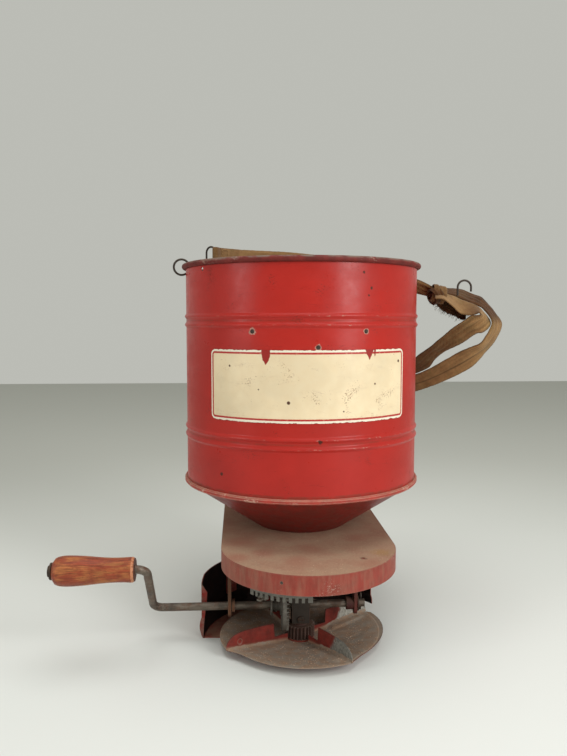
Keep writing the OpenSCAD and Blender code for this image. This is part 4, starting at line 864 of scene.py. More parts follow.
def webbing_finish(name, colours, clean_gain=1.0):
    """Cotton weave, soiled where the band's soil says (a number that also paints light and shade), darker at
    its edges, with painted shade in its laps, creases and between its threads
    """
    material, t, shader = new_finish(name, 0.1)
    place = t.place()
    flat = t.vector("SCALE", t.nodes.new("ShaderNodeUVMap").outputs["UV"], 1.0 / MM)
    pitch = bpy.context.scene.spreader_sizes.weave_pitch / MM
    weave = t.group(canvas_weave, Flat=flat, Pitch=pitch)
    soil = t.add("ShaderNodeAttribute", attribute_name="soil").outputs["Fac"]
    seam = t.add("ShaderNodeAttribute", attribute_name="seam").outputs["Fac"]
    cloud = t.noise(place, 11.0, 6.0, 0.65)
    streak = t.noise(t.stretch(flat, (0.06, 0.7, 1.0)), 1.6, 4.0, 0.6)
    patchy = t.calc("ADD", soil, t.calc("MULTIPLY", t.calc("SUBTRACT", cloud, 0.5), 0.9))
    patchy = t.calc("ADD", patchy, t.calc("MULTIPLY", t.calc("SUBTRACT", streak, 0.5), 0.55))
    clean = t.mix(t.ramp(streak, 0.35, 0.65), rgba(colours.cotton, 0.78 * clean_gain),
                  rgba(colours.cotton, 1.15 * clean_gain))
    olive = t.ramp(t.noise(place, 20.0, 3.0), 0.5, 0.66)
    clean = t.mix(t.calc("MULTIPLY", olive, 0.4), clean, (0.20, 0.14, 0.05, 1.0))
    soiled = t.mix(t.ramp(cloud, 0.4, 0.6), rgba(colours.soil, 0.7), rgba(colours.soil, 1.6))
    tint = t.mix(t.ramp(patchy, 0.0, 1.0), clean, soiled)
    # Darker in the low parts of the weave: painted shade between the threads
    threads = t.calc("SUBTRACT", 1.0, weave["Height"])
    tint = t.mix(t.calc("MULTIPLY", threads, 0.5), tint, rgba(colours.soil, 1.0))
    # The seam attribute paints shade into laps and pleat valleys and darkens the edges
    tint = t.mix(t.calc("MULTIPLY", seam, 0.8), tint, rgba(colours.soil, 0.7))
    normal = t.relief(weave["Height"], 0.28)
    normal = t.relief(streak, 0.25, normal)
    set_surface(t, shader, tint, 0.92, normal)
    shader.inputs["Sheen Weight"].default_value = 0.12
    shader.inputs["Sheen Roughness"].default_value = 0.5
    return material


def plain_dust_finish(name, colours, gain, share):
    """Loose dust or pale flakes, mottled with a fine grain"""
    material, t, shader = new_finish(name, 0.15)
    place = t.place()
    tone = t.group(cloudy_tone, Place=place)
    grain = t.noise(place, 0.7, 3.0, 0.65)
    tint = t.mix(t.ramp(grain, 0.35, 0.65), rgba(colours.dust, 0.78 * gain),
                 rgba(colours.dust, 1.05 * gain))
    tint = t.mix(t.calc("MULTIPLY", tone["Near"], share), tint, rgba(colours.zinc, 1.9 * gain))
    set_surface(t, shader, tint, 0.97, t.relief(grain, 0.15))
    return material


def slot_finishes(colours):
    """The finish of each material slot of the record"""
    c = colours
    return {
        "red_enamel": worn_metal("red enamel", c, c.enamel, c.primer, 0.34, wear=0.9,
                                 chips=0.2, lying=0.12, clinging=0.05),
        "dark_red_enamel": worn_metal("dark red enamel", c, c.old_enamel[:], c.rust, 0.5,
                                      lying=0.5, clinging=0.12),
        "deck_enamel": deck_finish(c),
        "cream_enamel": label_finish(c),
        "fan_enamel": fan_plate_finish(c),
        "zinc_casting": worn_metal("zinc casting", c, c.zinc, c.dark_steel, 0.55, 0.3,
                                   wear=0.5, chips=0.25, lying=0.25, clinging=0.12,
                                   dust_gain=0.6),
        "pinion_casting": worn_metal("pinion casting", c, (0.075, 0.030, 0.024), c.zinc, 0.6,
                                     0.2, wear=0.6, clinging=0.2, dust_gain=0.5),
        "galvanised_steel": worn_metal("galvanised steel", c, c.zinc, c.rust, 0.5, 0.5,
                                       wear=0.5, lying=0.5),
        "rod_steel": rod_finish(c),
        "rusty_steel": worn_metal("rusty steel", c, c.rust, c.steel, 0.75, 0.1, wear=0.8,
                                  chips=0.3, lying=0.3, clinging=0.15, dust_gain=0.8),
        "dark_steel": worn_metal("dark steel", c, c.dark_steel, c.rust, 0.5, 0.4, wear=0.6,
                                 chips=0.25, lying=0.2, clinging=0.05, dust_gain=0.7),
        "painted_wood": grip_finish(c),
        "cotton_webbing": webbing_finish("cotton webbing", c),
    }


def node_finishes(colours):
    """Finishes of the nodes that differ from the rest of their slot"""
    c = colours
    tip = math.radians(VANE_PHASE + 180)
    dent = (71.0 * math.cos(tip), 71.0 * math.sin(tip), 15.0)
    return {
        "hopper_shell": hopper_finish(c),
        "hem_ring": worn_metal("hem enamel", c, (0.36, 0.028, 0.018), c.primer, 0.4, wear=2.2,
                               chips=0.34, lying=0.35, clinging=0.08),
        "funnel": worn_metal("funnel enamel", c, (0.20, 0.008, 0.006), c.rust, 0.36,
                             wear=0.5, chips=0.12, lying=0.15, clinging=0.03),
        "rear_guard": guard_finish(c),
        "vane_1": vane_finish("vane one", c, VANE_PHASE, 44.0, 1.7),
        "vane_2": vane_finish("vane two", c, VANE_PHASE + 90, 60.0, 1.0),
        "vane_3": vane_finish("vane three", c, VANE_PHASE + 180, 95.0, 1.0, dent),
        "vane_4": vane_finish("vane four", c, VANE_PHASE + 270, 50.0, 1.0),
        "right_hanger": worn_metal("hanger enamel", c, (0.10, 0.014, 0.010), c.rust, 0.6,
                                   lying=0.4, clinging=0.1, dust_gain=0.6),
        "right_collar": worn_metal("collar enamel", c, (0.05, 0.008, 0.006), c.rust, 0.6,
                                   lying=0.3, clinging=0.05, dust_gain=0.5),
    }


# Shapes of the pieces

def new_piece(name, mesh, material, body):
    """A shaded object at the origin that rides a body and fills a slot"""
    mesh.materials.clear()
    mesh.materials.append(material)
    mesh.shade_smooth()
    piece = bpy.data.objects.new(name, mesh)
    bpy.context.scene.collection.objects.link(piece)
    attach(piece, body)
    return piece


def closed_mesh(name, points, faces):
    """A mesh from points in millimetres, with its faces turned outwards"""
    mesh = bpy.data.meshes.new(name)
    mesh.from_pydata([Vector(point) * MM for point in points], [], faces)
    shape = bmesh.new()
    shape.from_mesh(mesh)
    bmesh.ops.recalc_face_normals(shape, faces=shape.faces)
    shape.to_mesh(mesh)
    shape.free()
    return mesh


def between(before, first, second, after, share):
    """Row of numbers on the smooth curve from first to second"""
    found = []
    for p, q, r, s in zip(before, first, second, after):
        found.append(0.5 * (2 * q + (r - p) * share + (2 * p - 5 * q + 4 * r - s) * share ** 2
                            + (3 * q - p - 3 * r + s) * share ** 3))
    return found


def smooth_rows(rows, step, closed):
    """The band's rows along a smooth curve, with both edges moving a step or less"""
    count = len(rows)
    pieces = count if closed else count - 1
    smooth = []
    for index in range(pieces):
        if closed:
            near = [rows[(index + k) % count] for k in (-1, 0, 1, 2)]
        else:
            near = [rows[min(max(index + k, 0), count - 1)] for k in (-1, 0, 1, 2)]
        centre = [Vector(row[0:3]) for row in near[1:3]]
        across = [Vector(row[3:6]) / 2 for row in near[1:3]]
        travel = max((centre[1] + side * across[1] - centre[0] - side * across[0]).length
                     for side in (-1, 0, 1))
        parts = max(1, math.ceil(travel / step))
        smooth += [between(*near, part / parts) for part in range(parts)]
    if not closed:
        smooth.append(list(rows[-1]))
    return smooth


class Band:
    """A band of webbing along rows of numbers, in millimetres.

    Each row is the band's middle (x, y, z), the vector from its second edge to its first
    (x, y, z), and how soiled, pleated and lapped it is there. The soil number also paints light and shade,
    and the pleats and laps paint shade into their creases."""

    def __init__(self, rows, closed=False, wrinkle=0.5, fray=0.0, seed=0.0, pleats=3.5,
                 lap_at=0.1, columns=16, thickness=None, step=None):
        sizes = bpy.context.scene.spreader_sizes
        self.thickness = thickness or sizes.web_thickness / MM
        self.rows = smooth_rows(rows, step or sizes.web_step / MM, closed)
        self.closed = closed
        self.wrinkle, self.fray, self.seed = wrinkle, fray, seed
        self.pleats, self.lap_at, self.columns = pleats, lap_at, columns

    def section(self, row, along, travel, turn):
        """One ring of points, with how far across, how soiled and how shadowed each is"""
        centre, across = Vector(row[0:3]), Vector(row[3:6])
        soil, pleat, lap = row[6:9]
        ring, shares, dark = [], [], []
        for side in (1, -1):
            order = range(self.columns + 1)
            for column in (order if side == 1 else reversed(order)):
                share = 2 * column / self.columns - 1
                normal = (travel + turn * share / 2).cross(across).normalized()
                ragged = self.fray * (noise.noise(
                    Vector((along / 1.4, self.seed + share * 9, 0))) + 0.5 * noise.noise(
                    Vector((along / 5.0, self.seed - share * 7, 4)))) * abs(share) ** 3
                wave = math.sin(math.pi * self.pleats * share + 1.8 * noise.noise(
                    Vector((along / 22.0, share, self.seed + 3))))
                lift = pleat * 1.2 * wave
                lift += lap * 0.8 * math.tanh((share - self.lap_at) / 0.05)
                lift += self.wrinkle * noise.noise(
                    Vector((along / 11.0, share * 1.3, self.seed)))
                lift += 0.25 * self.wrinkle * noise.noise(
                    Vector((along / 3.5, share * 3.0, self.seed + 7)))
                half = self.thickness / 2 * math.sqrt(max(1 - share ** 8, 0.12))
                ring.append(centre + across * share / 2 + across.normalized() * ragged
                            * (1 if share > 0 else -1) + normal * (lift + side * half))
                shares.append(share * across.length / 2)
                # Painted shade, stored as seam: a dark line where the band laps over itself and dark pleat
                # valleys; the edges are made darker too
                lap_shade = lap * math.exp(-((share - self.lap_at) / 0.06) ** 2)
                edge = 0.5 * abs(share) ** 14
                dark.append(min(1.0, lap_shade + pleat * 0.6 * max(0.0, -wave) + edge))
        return ring, shares, dark, [soil] * len(ring)

    def mesh(self, name):
        points, flat, dark, soil = [], [], [], []
        count = len(self.rows)
        along = 0.0
        for index, row in enumerate(self.rows):
            if self.closed:
                before, after = self.rows[index - 1], self.rows[(index + 1) % count]
            else:
                before = self.rows[max(index - 1, 0)]
                after = self.rows[min(index + 1, count - 1)]
            if index:
                along += (Vector(row[0:3]) - Vector(self.rows[index - 1][0:3])).length
            travel = Vector(after[0:3]) - Vector(before[0:3])
            turn = Vector(after[3:6]) - Vector(before[3:6])
            ring, shares, shadow, soiled = self.section(row, along, travel, turn)
            points += ring
            flat += [(along * MM, share * MM) for share in shares]
            dark += shadow
            soil += soiled
        size = 2 * (self.columns + 1)
        faces = []
        for index in range(count if self.closed else count - 1):
            for k in range(size):
                near, far = index * size, (index + 1) % count * size
                faces.append((near + k, near + (k + 1) % size, far + (k + 1) % size, far + k))
        if not self.closed:
            for start in (0, (count - 1) * size):
                for k in range(self.columns):
                    faces.append((start + k, start + k + 1, start + size - 2 - k,
                                  start + size - 1 - k))
        mesh = closed_mesh(name, points, faces)
        uv = mesh.uv_layers.new(name="UVMap")
        for loop in mesh.loops:
            uv.data[loop.index].uv = flat[loop.vertex_index]
        # seam carries the painted shade of laps and pleat valleys, and the darker edges
        for label, values in (("soil", soil), ("seam", dark)):
            mesh.attributes.new(label, "FLOAT", "POINT").data.foreach_set("value", values)
        return mesh


def band_row(middle, across, soil=0.3, pleat=0.0, lap=0.0):
    return (*middle, *across, soil, pleat, lap)


def band_ring(centre, axis, up, tall, deep, width, soil, count=14):
    """Rows of a closed band wound round an axis, as tall along up and as deep as given"""
    axis = Vector(axis).normalized()
    up = (Vector(up) - axis * axis.dot(Vector(up))).normalized()
    aside = axis.cross(up)
    rows = []
    for index in range(count):
        angle = 2 * math.pi * index / count
        middle = (Vector(centre) + up * tall * math.cos(angle)
                  + aside * deep * math.sin(angle))
        rows.append(band_row(middle, axis * width, soil, 0.25))
    return rows


# Rows of the strap's bands, in millimetres: middle, vector across, soil, pleats, lap. The soil column is
# partly painted light and shade: it was set to how light or dark each stretch looks, and it is below zero on
# the strap's lit outer fold, which paints a highlight there.

HEM_LOW, HEM_HIGH = box_mm("strap_hem")
LEG = (HEM_LOW + HEM_HIGH) / 2
OVER_RIM = (
    (-84.0, 174.5, 400.8, 0, 0, 25, 0.35, 0, 0), (-72.0, 188.5, 401.1, 0, 0, 25, 0.3, 0, 0),
    (-52.0, 206.0, 401.4, 0, 0, 25, 0.25, 0, 0), (-24.0, 218.0, 401.4, 0, 0, 25, 0.2, 0, 0),
    (8.0, 223.0, 400.2, 0, -1, 25, 0.2, 0, 0), (48.0, 222.0, 396.0, 1, -3, 24.6, 0.25, 0, 0),
    (90.0, 206.0, 388.0, 0, -6, 24, 0.3, 0.2, 0), (124.0, 176.0, 376.5, 0, -8, 21, 0.25, 0.3, 0),
    (140.0, 152.0, 369.4, 0, -10, 18, 0.2, 0.4, 0), (148.5, 144.0, 366.6, 0, -12, 15.6, 0.2, 0.5, 0),
    (156.5, 140.0, 363.6, 1, -12, 13.5, 0.25, 0.6, 0), (165.4, 136.0, 359.8, 3, -10, 10, 0.5, 0.6, 0),
    (173.0, 133.0, 356.5, 3, -8, 8, 0.7, 0.6, 0),
)
FOLDED_RUN = (
    (168.5, 122.5, 354.5, 5.7, 21, 8.9, 0.6, 0, 0), (178.8, 124.5, 353.7, 7, 23, 8.1, 0.2, 0, 0),
    (190.3, 128, 348.3, 5.8, 20, 12.6, 0.15, 0, 0), (200.8, 129, 341.9, 5.3, 18, 17.2, 0.3, 0, 0),
    (211, 129, 339.1, 5.6, 18, 15.6, 0.5, 0, 0), (219.2, 128.5, 338, 6.3, 21, 11.2, 0.6, 0, 0),
    (223.7, 127.5, 337.1, 8.2, 23, 6, 0.5, 0, 0), (226.5, 127.5, 334.3, 11, 23, 2.5, 0, 0.1, 0),
    (229.8, 129, 331, 15.5, 20, -2.8, -0.4, 0.2, 0), (230.1, 129, 327.4, 22.1, 16, -8.8, -0.5, 0.4, 0),
    (224.8, 128, 323.6, 25.4, 8, -14.6, -0.3, 0.6, 0), (217.6, 129.5, 317.9, 24.4, 3, -15.1, 0.15, 0.8, 0),
    (209.7, 131, 314.5, 23.6, 0, -11, 0.45, 0.7, 0), (198.6, 135, 305.7, 18.2, 0, -14, 0.55, 0.4, 0),
    (188.9, 142, 297.7, 17.7, 0, -10.1, 0.6, 0.2, 0), (179.6, 152, 289.5, 17.6, 0, -6.2, 0.65, 0.2, 0),
    (170.9, 162, 280, 20.1, 0, -6.3, 0.7, 0.2, 0), (163.7, 171, 270, 21.4, -2, -8.1, 0.75, 0.2, 0),
    (150, 184, 264, 17, 0, -14, 0.6, 0.1, 0), (134, 196, 262, 8, 6, -20, 0.5, 0, 0),
    (98, 213, 253, 3, 3, -23, 0.4, 0, 0), (66, 224, 246, 0, 0, -24, 0.4, 0, 0),
    (44, 228, 240, 0, 0, -24, 0.4, 0, 0), (36, 233, 238, 0, 0, -24, 0.4, 0, 0),
    (46, 239, 237, 0, 0, -24, 0.4, 0, 0), (72, 238, 237, 0, 0, -24, 0.35, 0, 0.2),
    (108, 226, 240, 1, 0, -23, 0.35, 0, 0.6), (135, 208, 241, 2, -1, -22, 0.35, 0, 1),
    (157.2, 183, 245.1, 2, -2, -21.2, 0.4, 0, 1), (179.4, 170, 254.7, 8.3, -2, -19.9, 0.35, 0, 1),
    (201.1, 159, 267.6, 11.9, -2, -20.9, 0.3, 0, 1), (219.2, 150, 279.7, 14.3, 4, -20.3, 0.2, 0, 1),
    (233.9, 144, 291.4, 14.7, 16, -11.6, 0.05, 0, 0.6), (242.2, 141.5, 302.1, 17.5, 19, -6.9, -0.1, 0.2, 0.2),
    (247.3, 140, 312, 18.5, 19, -4.1, -0.2, 0.3, 0), (249.5, 140, 319.6, 18.5, 19, -1.9, 0.1, 0.4, 0),
    (248.6, 141, 325.9, 18.5, 20, -1.2, 0.6, 0.4, 0), (244.8, 144.5, 333.2, 18, 20, -0.6, 0.9, 0.4, 0),
    (239.4, 149, 341.0, 16.5, 20, 1.5, 1.0, 0.4, 0), (230.9, 152, 348.7, 14, 19, 9.0, 1.0, 0.4, 0),
    (220.2, 154.5, 352.8, 12.5, 20, 9.2, 0.9, 0.3, 0), (208.8, 153.5, 357.4, 11, 20, 10.4, 0.8, 0.3, 0),
    (196.8, 150, 359.8, 9, 20, 7.8, 0.85, 0.3, 0), (184.5, 144, 360.5, 7.2, 18, 7.4, 0.9, 0.3, 0),
    (175.0, 137, 357.5, 5, 14, 6, 0.9, 0.3, 0),
)
TORN_END = (
    (170.0, 139, 351.5, -0.4, 0, 6, 0.9, 0.2, 0), (173.7, 140, 349.9, -0.6, 0, 8, 0.95, 0.4, 0),
    (177.9, 140, 346.9, -0.7, 0, 11.8, 1.1, 0.6, 0), (183.9, 140, 343.9, -0.5, 0, 15.5, 1.2, 0.6, 0),
    (192, 140, 339.8, -0.3, 0, 14.5, 1.2, 0.6, 0), (200, 139, 334.6, -0.2, 0, 11.5, 1.2, 0.5, 0),
    (206, 138, 330.6, -0.4, 0, 9.8, 1.2, 0.4, 0), (210.6, 137, 329.6, 0.6, 0, 6, 1.2, 0.3, 0),
)
KNOT = Vector((174.2, 131.5, 356.0))


def sewn_end_rows():
    """Rows of the strap's end: round the leg of its loop and back along the strap"""
    start, second = Vector(OVER_RIM[0][0:3]), Vector(OVER_RIM[2][0:3])
    out = (start - LEG).to_2d().normalized().to_3d()
    aside = Vector((-out.y, out.x, 0))
    onward = (second - start).to_2d().normalized().to_3d()
    back = Vector((-onward.y, onward.x, 0))
    tall = Vector((0, 0, 25))
    level = Vector((0, 0, OVER_RIM[0][2] - LEG.z))
    around = LEG + level
    reach = 2.55
    rows = [band_row(start + onward * 15 + back * 2.3, tall, 0.45),
            band_row(start + onward * 7 + back * 2.3, tall, 0.4),
            band_row(start + back * 2.3, tall, 0.4)]
    for angle in (80, 125, 180, 235, 280):
        turn = math.radians(angle)
        rows.append(band_row(around + (out * math.cos(turn) + aside * math.sin(turn)) * reach,
                             tall, 0.5))
    rows.append(band_row(start - out * 0.5, tall, 0.4))
    return rows


def lumpy_core(name, centre, radii, lumps, seed):
    """A closed, uneven ball"""
    shape = bmesh.new()
    bmesh.ops.create_icosphere(shape, subdivisions=5, radius=1.0)
    for point in shape.verts:
        way = point.co.normalized()
        swell = 1 + lumps * noise.noise(way * 2.6 + Vector((seed, 0, 0)))
        swell += 0.4 * lumps * noise.noise(way * 7.0 + Vector((0, seed, 0)))
        point.co = (Vector(centre) + Vector((way.x * radii[0], way.y * radii[1],
                                             way.z * radii[2])) * swell) * MM
    mesh = bpy.data.meshes.new(name)
    shape.to_mesh(mesh)
    shape.free()
    uv = mesh.uv_layers.new(name="UVMap")
    for loop in mesh.loops:
        place = mesh.vertices[loop.vertex_index].co
        uv.data[loop.index].uv = (place.x, place.z)
    # seam 0.3 paints a little shade over the whole core, which sits among the wraps
    for label, value in (("soil", 1.1), ("seam", 0.3)):
        mesh.attributes.new(label, "FLOAT", "POINT").data.foreach_set(
            "value", [value] * len(mesh.vertices))
    return mesh


def joined(name, meshes):
    """One mesh of several that have the same layers"""
    shape = bmesh.new()
    for mesh in meshes:
        shape.from_mesh(mesh)
    whole = bpy.data.meshes.new(name)
    shape.to_mesh(whole)
    shape.free()
    for mesh in meshes:
        bpy.data.meshes.remove(mesh)
    return whole


def dish_z(radius):
    return FLOOR_Z + DISH_RISE * (radius - DISH_IN_R) / (DISH_OUT_R - DISH_IN_R)


def plate_edge(share):
    """Outline radius of the fan plate, share from 0 at one vane to 1 at the next"""
    edge = FAN_R - EDGE_DIP + EDGE_DIP * share ** 1.6
    if share < 0.14:
        edge += EDGE_DIP * (1 - share / 0.14) ** 2
    return edge


def soft_step(value, low, high):
    share = min(max((value - low) / (high - low), 0.0), 1.0)
    return share * share * (3 - 2 * share)


def fan_dust_mesh(name):
    """Dust over the fan plate, banked up against the vanes and over their feet"""
    depth = bpy.context.scene.spreader_sizes.dust_depth / MM
    turns, rings = 4 * 96, 46
    inner = 12.6
    top, bottom = [], []
    for step in range(turns):
        quarter, share = divmod(4 * step / turns, 1.0)
        share -= 0.8 * math.sin(2 * math.pi * share) / (2 * math.pi)
        angle = math.radians(VANE_PHASE + 90 * (quarter + share))
        outer = plate_edge(share) - 1.0
        for ring in range(rings + 1):
            radius = inner + (outer - inner) * ring / rings
            x, y = radius * math.cos(angle), radius * math.sin(angle)
            base = dish_z(radius)
            rise = depth * (0.7 + 0.8 * noise.noise(Vector((x / 8, y / 8, 0)))
                            + 0.5 * noise.noise(Vector((x / 2.2, y / 2.2, 5))))
            near = min(share, 1 - share)
            aside = radius * math.sin(math.radians(90 * near))
            clumps = 1 + 0.5 * noise.noise(Vector((radius / 4.0, quarter * 9 + share, 2)))
            on_vane = soft_step(radius, 22, 34)
            rise += on_vane * 2.2 * clumps * math.exp(-max(aside - 0.5, 0) / 1.5)
            if share > 0.5:
                foot = soft_step(radius, 32, 38) * (1 - soft_step(radius, 72, 78))
                rise += 1.45 * foot * (1 - soft_step(aside, 8.0, 12.5))
            rise *= 1 - 0.85 * soft_step(radius, outer - 3.5, outer)
            top.append((x, y, base + max(rise, 0.08)))
            bottom.append((x, y, base - 0.35))
    count = len(top)
    faces = []
    for step in range(turns):
        near, far = step * (rings + 1), (step + 1) % turns * (rings + 1)
        for ring in range(rings):
            faces.append((near + ring, near + ring + 1, far + ring + 1, far + ring))
            faces.append((count + near + ring, count + far + ring, count + far + ring + 1,
                          count + near + ring + 1))
        for side in (0, rings):
            faces.append((near + side, far + side, count + far + side, count + near + side))
    return closed_mesh(name, top + bottom, faces)


def wall_r(height):
    """Outside radius of the hopper's wall at a height above its hem"""
    away = min(abs(height - ridge) for ridge in RIDGES)
    if away > RIDGE_HALF:
        return HOPPER_R
    return HOPPER_R + RIDGE_H * (0.5 + 0.5 * math.cos(math.pi * away / RIDGE_HALF))


def hopper_seam_mesh(name, low, high):
    """The folded upright seam at the back of the hopper's wall"""
    half = bpy.context.scene.spreader_sizes.seam_width / MM / 2
    profile = [(-1.15, -0.5), (-1.0, 0.7), (-0.88, 1.05), (-0.3, 1.15), (0.3, 1.15),
               (0.88, 1.05), (1.0, 0.7), (1.15, -0.5)]
    steps = 230
    points = []
    for step in range(steps + 1):
        height = low + (high - low) * step / steps
        for across, out in profile:
            radius = wall_r(height) + out
            angle = math.radians(90) + across * half / HOPPER_R
            points.append((HOPPER_X + radius * math.cos(angle),
                           HOPPER_Y + radius * math.sin(angle), HEM_Z + height))
    size = len(profile)
    faces = [(step * size + k, step * size + (k + 1) % size,
              (step + 1) * size + (k + 1) % size, (step + 1) * size + k)
             for step in range(steps) for k in range(size)]
    faces += [tuple(range(size)), tuple(range(steps * size, (steps + 1) * size))]
    return closed_mesh(name, points, faces)


# Repeated small forms, as geometry trees

def geometry_tree(name, inputs, fill):
    """A geometry tree with named inputs, whose result is realized and given its material"""
    group = bpy.data.node_groups.new(name, "GeometryNodeTree")
    sockets = [("Geometry", "Geometry", None), *inputs, ("Material", "Material", None)]
    for label, kind, value in sockets:
        socket = group.interface.new_socket(
            name=label, in_out="INPUT", socket_type="NodeSocket" + kind)
        if value is not None:
            socket.default_value = value
    group.interface.new_socket(
        name="Geometry", in_out="OUTPUT", socket_type="NodeSocketGeometry")
    tree = Tree(group)
    start = group.nodes.new("NodeGroupInput").outputs
    end = group.nodes.new("NodeGroupOutput").inputs
    instances = fill(tree, start)
    real = tree.add("GeometryNodeRealizeInstances", {"Geometry": instances}).outputs[0]
    done = tree.add("GeometryNodeSetMaterial", {"Geometry": real, "Material": start["Material"]})
    tree.put(done.outputs[0], end["Geometry"])
    return group


def random_vector(t, low, high, seed):
    node = t.add("FunctionNodeRandomValue", data_type="FLOAT_VECTOR")
    node.inputs[0].default_value = low
    node.inputs[1].default_value = high
    t.put(seed, node.inputs["Seed"])
    return node.outputs[0]


def crumbs_tree():
    """Small flat crumbs scattered over the faces that look up"""
    def fill(t, given):
        normal = t.nodes.new("GeometryNodeInputNormal").outputs[0]
        up = t.split(normal)[2]
        place = t.nodes.new("GeometryNodeInputPosition").outputs[0]
        away = t.vector("DISTANCE", t.vector("MULTIPLY", place, (1.0, 1.0, 0.0)),
                        given["Bare centre"])
        allowed = t.calc("MULTIPLY", t.calc("GREATER_THAN", up, 0.8),
                         t.calc("GREATER_THAN", away, given["Bare radius"]))
        cloud = t.ramp(t.noise(t.vector("SCALE", place, 1.0 / MM), 17.0, 4.0), 0.42, 0.62)
        points = t.add("GeometryNodeDistributePointsOnFaces", {
            "Mesh": given["Geometry"], "Seed": given["Seed"], "Density": t.calc(
                "MULTIPLY", given["Density"], t.calc("MULTIPLY", allowed, t.calc(
                    "ADD", cloud, 0.15)))}).outputs["Points"]
        crumb = t.add("GeometryNodeMeshIcoSphere", {"Radius": 1.0, "Subdivisions": 1})
        size = t.vector("SCALE", random_vector(
            t, (0.35, 0.25, 0.12), (1.0, 0.7, 0.3), given["Seed"]), given["Size"])
        turn = random_vector(t, (-0.3, -0.3, 0.0), (0.3, 0.3, 6.28), t.calc(
            "ADD", given["Seed"], 1))
        return t.add("GeometryNodeInstanceOnPoints", {
            "Points": points, "Instance": crumb.outputs["Mesh"], "Rotation": turn,
            "Scale": size}).outputs[0]
    return geometry_tree("crumbs", [
        ("Density", "Float", 60000.0), ("Size", "Float", 0.0008), ("Bare centre", "Vector", None),
        ("Bare radius", "Float", 0.0), ("Seed", "Int", 4)], fill)


def fibres_tree():
    """Short bent fibres that stand out of a frayed cloth"""
    def fill(t, given):
        fray = t.add("GeometryNodeInputNamedAttribute", {"Name": "fray"},
                     data_type="FLOAT").outputs[0]
        points = t.add("GeometryNodeDistributePointsOnFaces", {
            "Mesh": given["Geometry"], "Seed": given["Seed"],
            "Density": t.calc("MULTIPLY", given["Density"], fray)})
        bend = t.add("GeometryNodeCurveQuadraticBezier", {
            "Resolution": 5, "Start": (0.0, 0.0, -0.1), "Middle": (0.28, 0.0, 0.45),
            "End": (-0.1, 0.12, 1.0)}).outputs[0]
        wire = t.add("GeometryNodeCurvePrimitiveCircle", {"Resolution": 5, "Radius": given["Radius"]})
        fibre = t.add("GeometryNodeCurveToMesh", {
            "Curve": bend, "Profile Curve": wire.outputs["Curve"], "Fill Caps": True}).outputs[0]
        lean = t.vector("ADD", points.outputs["Normal"], random_vector(
            t, (-0.9, -0.9, -1.3), (0.9, 0.9, 0.5), given["Seed"]))
        turn = t.add("FunctionNodeAlignRotationToVector", {"Vector": lean}, axis="Z").outputs[0]
        size = random_vector(t, (0.4, 0.4, 0.4), (1.0, 1.0, 1.0), t.calc(
            "ADD", given["Seed"], 2))
        return t.add("GeometryNodeInstanceOnPoints", {
            "Points": points.outputs["Points"], "Instance": fibre, "Rotation": turn,
            "Scale": t.vector("SCALE", size, given["Length"])}).outputs[0]
    return geometry_tree("fibres", [
        ("Density", "Float", 200000.0), ("Length", "Float", 0.006), ("Radius", "Float", 0.03),
        ("Seed", "Int", 11)], fill)


def stitches_tree():
    """A stitch at each point, lying along the direction stored there"""
    def fill(t, given):
        aim = t.add("GeometryNodeInputNamedAttribute", {"Name": "aim"},
                    data_type="FLOAT_VECTOR").outputs[0]
        turn = t.add("FunctionNodeAlignRotationToVector", {"Vector": aim}, axis="Z").outputs[0]
        ball = t.add("GeometryNodeMeshUVSphere", {"Segments": 8, "Rings": 8, "Radius": 1.0})
        size = t.join(given["Radius"], given["Radius"], given["Length"])
        points = t.add("GeometryNodeMeshToPoints", {"Mesh": given["Geometry"]}).outputs[0]
        return t.add("GeometryNodeInstanceOnPoints", {
            "Points": points, "Instance": ball.outputs["Mesh"], "Rotation": turn,
            "Scale": size}).outputs[0]
    return geometry_tree("stitches", [
        ("Length", "Float", 0.0014), ("Radius", "Float", 0.0004)], fill)


def grown_mesh(name, source, tree, inputs):
    """The plain mesh that a geometry tree grows from a source mesh"""
    holder = bpy.data.objects.new(name + " source", source)
    bpy.context.scene.collection.objects.link(holder)
    modifier = holder.modifiers.new(name, "NODES")
    modifier.node_group = tree
    for item in tree.interface.items_tree:
        if item.item_type == "SOCKET" and item.in_out == "INPUT" and item.name in inputs:
            modifier[item.identifier] = inputs[item.name]
    evaluated = holder.evaluated_get(bpy.context.evaluated_depsgraph_get())
    mesh = bpy.data.meshes.new_from_object(evaluated)
    mesh.name = name
    holder.modifiers.clear()
    bpy.data.objects.remove(holder)
    if not mesh.vertices:
        raise RuntimeError(f"nothing grew for {name}")
    return mesh


# Steps

class SPREADER_OT_camera(bpy.types.Operator):
    """Place the camera at the photographed viewing angle"""
    bl_idname = "spreader.camera"
    bl_label = "Camera"

    place: bpy.props.FloatVectorProperty(
        name="Place", description="Where the camera stands", size=3, subtype="TRANSLATION",
        default=(-0.0597, -0.697, 0.3247))
    turn: bpy.props.FloatProperty(
        name="Turn", description="Turn to the right of +Y", subtype="ANGLE",
        default=math.radians(3.5))
    pitch: bpy.props.FloatProperty(
        name="Pitch", description="Tilt below level", subtype="ANGLE", default=0.081)
    lens: bpy.props.FloatProperty(
        name="Lens", description="Focal length for a 36 mm long side", default=33.57)

    def execute(self, context):
        data = bpy.data.cameras.new("camera")
        data.lens = self.lens
        data.sensor_width = 36.0
        data.clip_start = 0.01
        camera = bpy.data.objects.new("camera", data)
        aim = Vector((math.sin(self.turn) * math.cos(self.pitch),
                      math.cos(self.turn) * math.cos(self.pitch), -math.sin(self.pitch)))
        camera.matrix_world = (Matrix.Translation(self.place)
                               @ aim.to_track_quat("-Z", "Y").to_matrix().to_4x4())
        context.scene.collection.objects.link(camera)
        context.scene.camera = camera
        return {"FINISHED"}


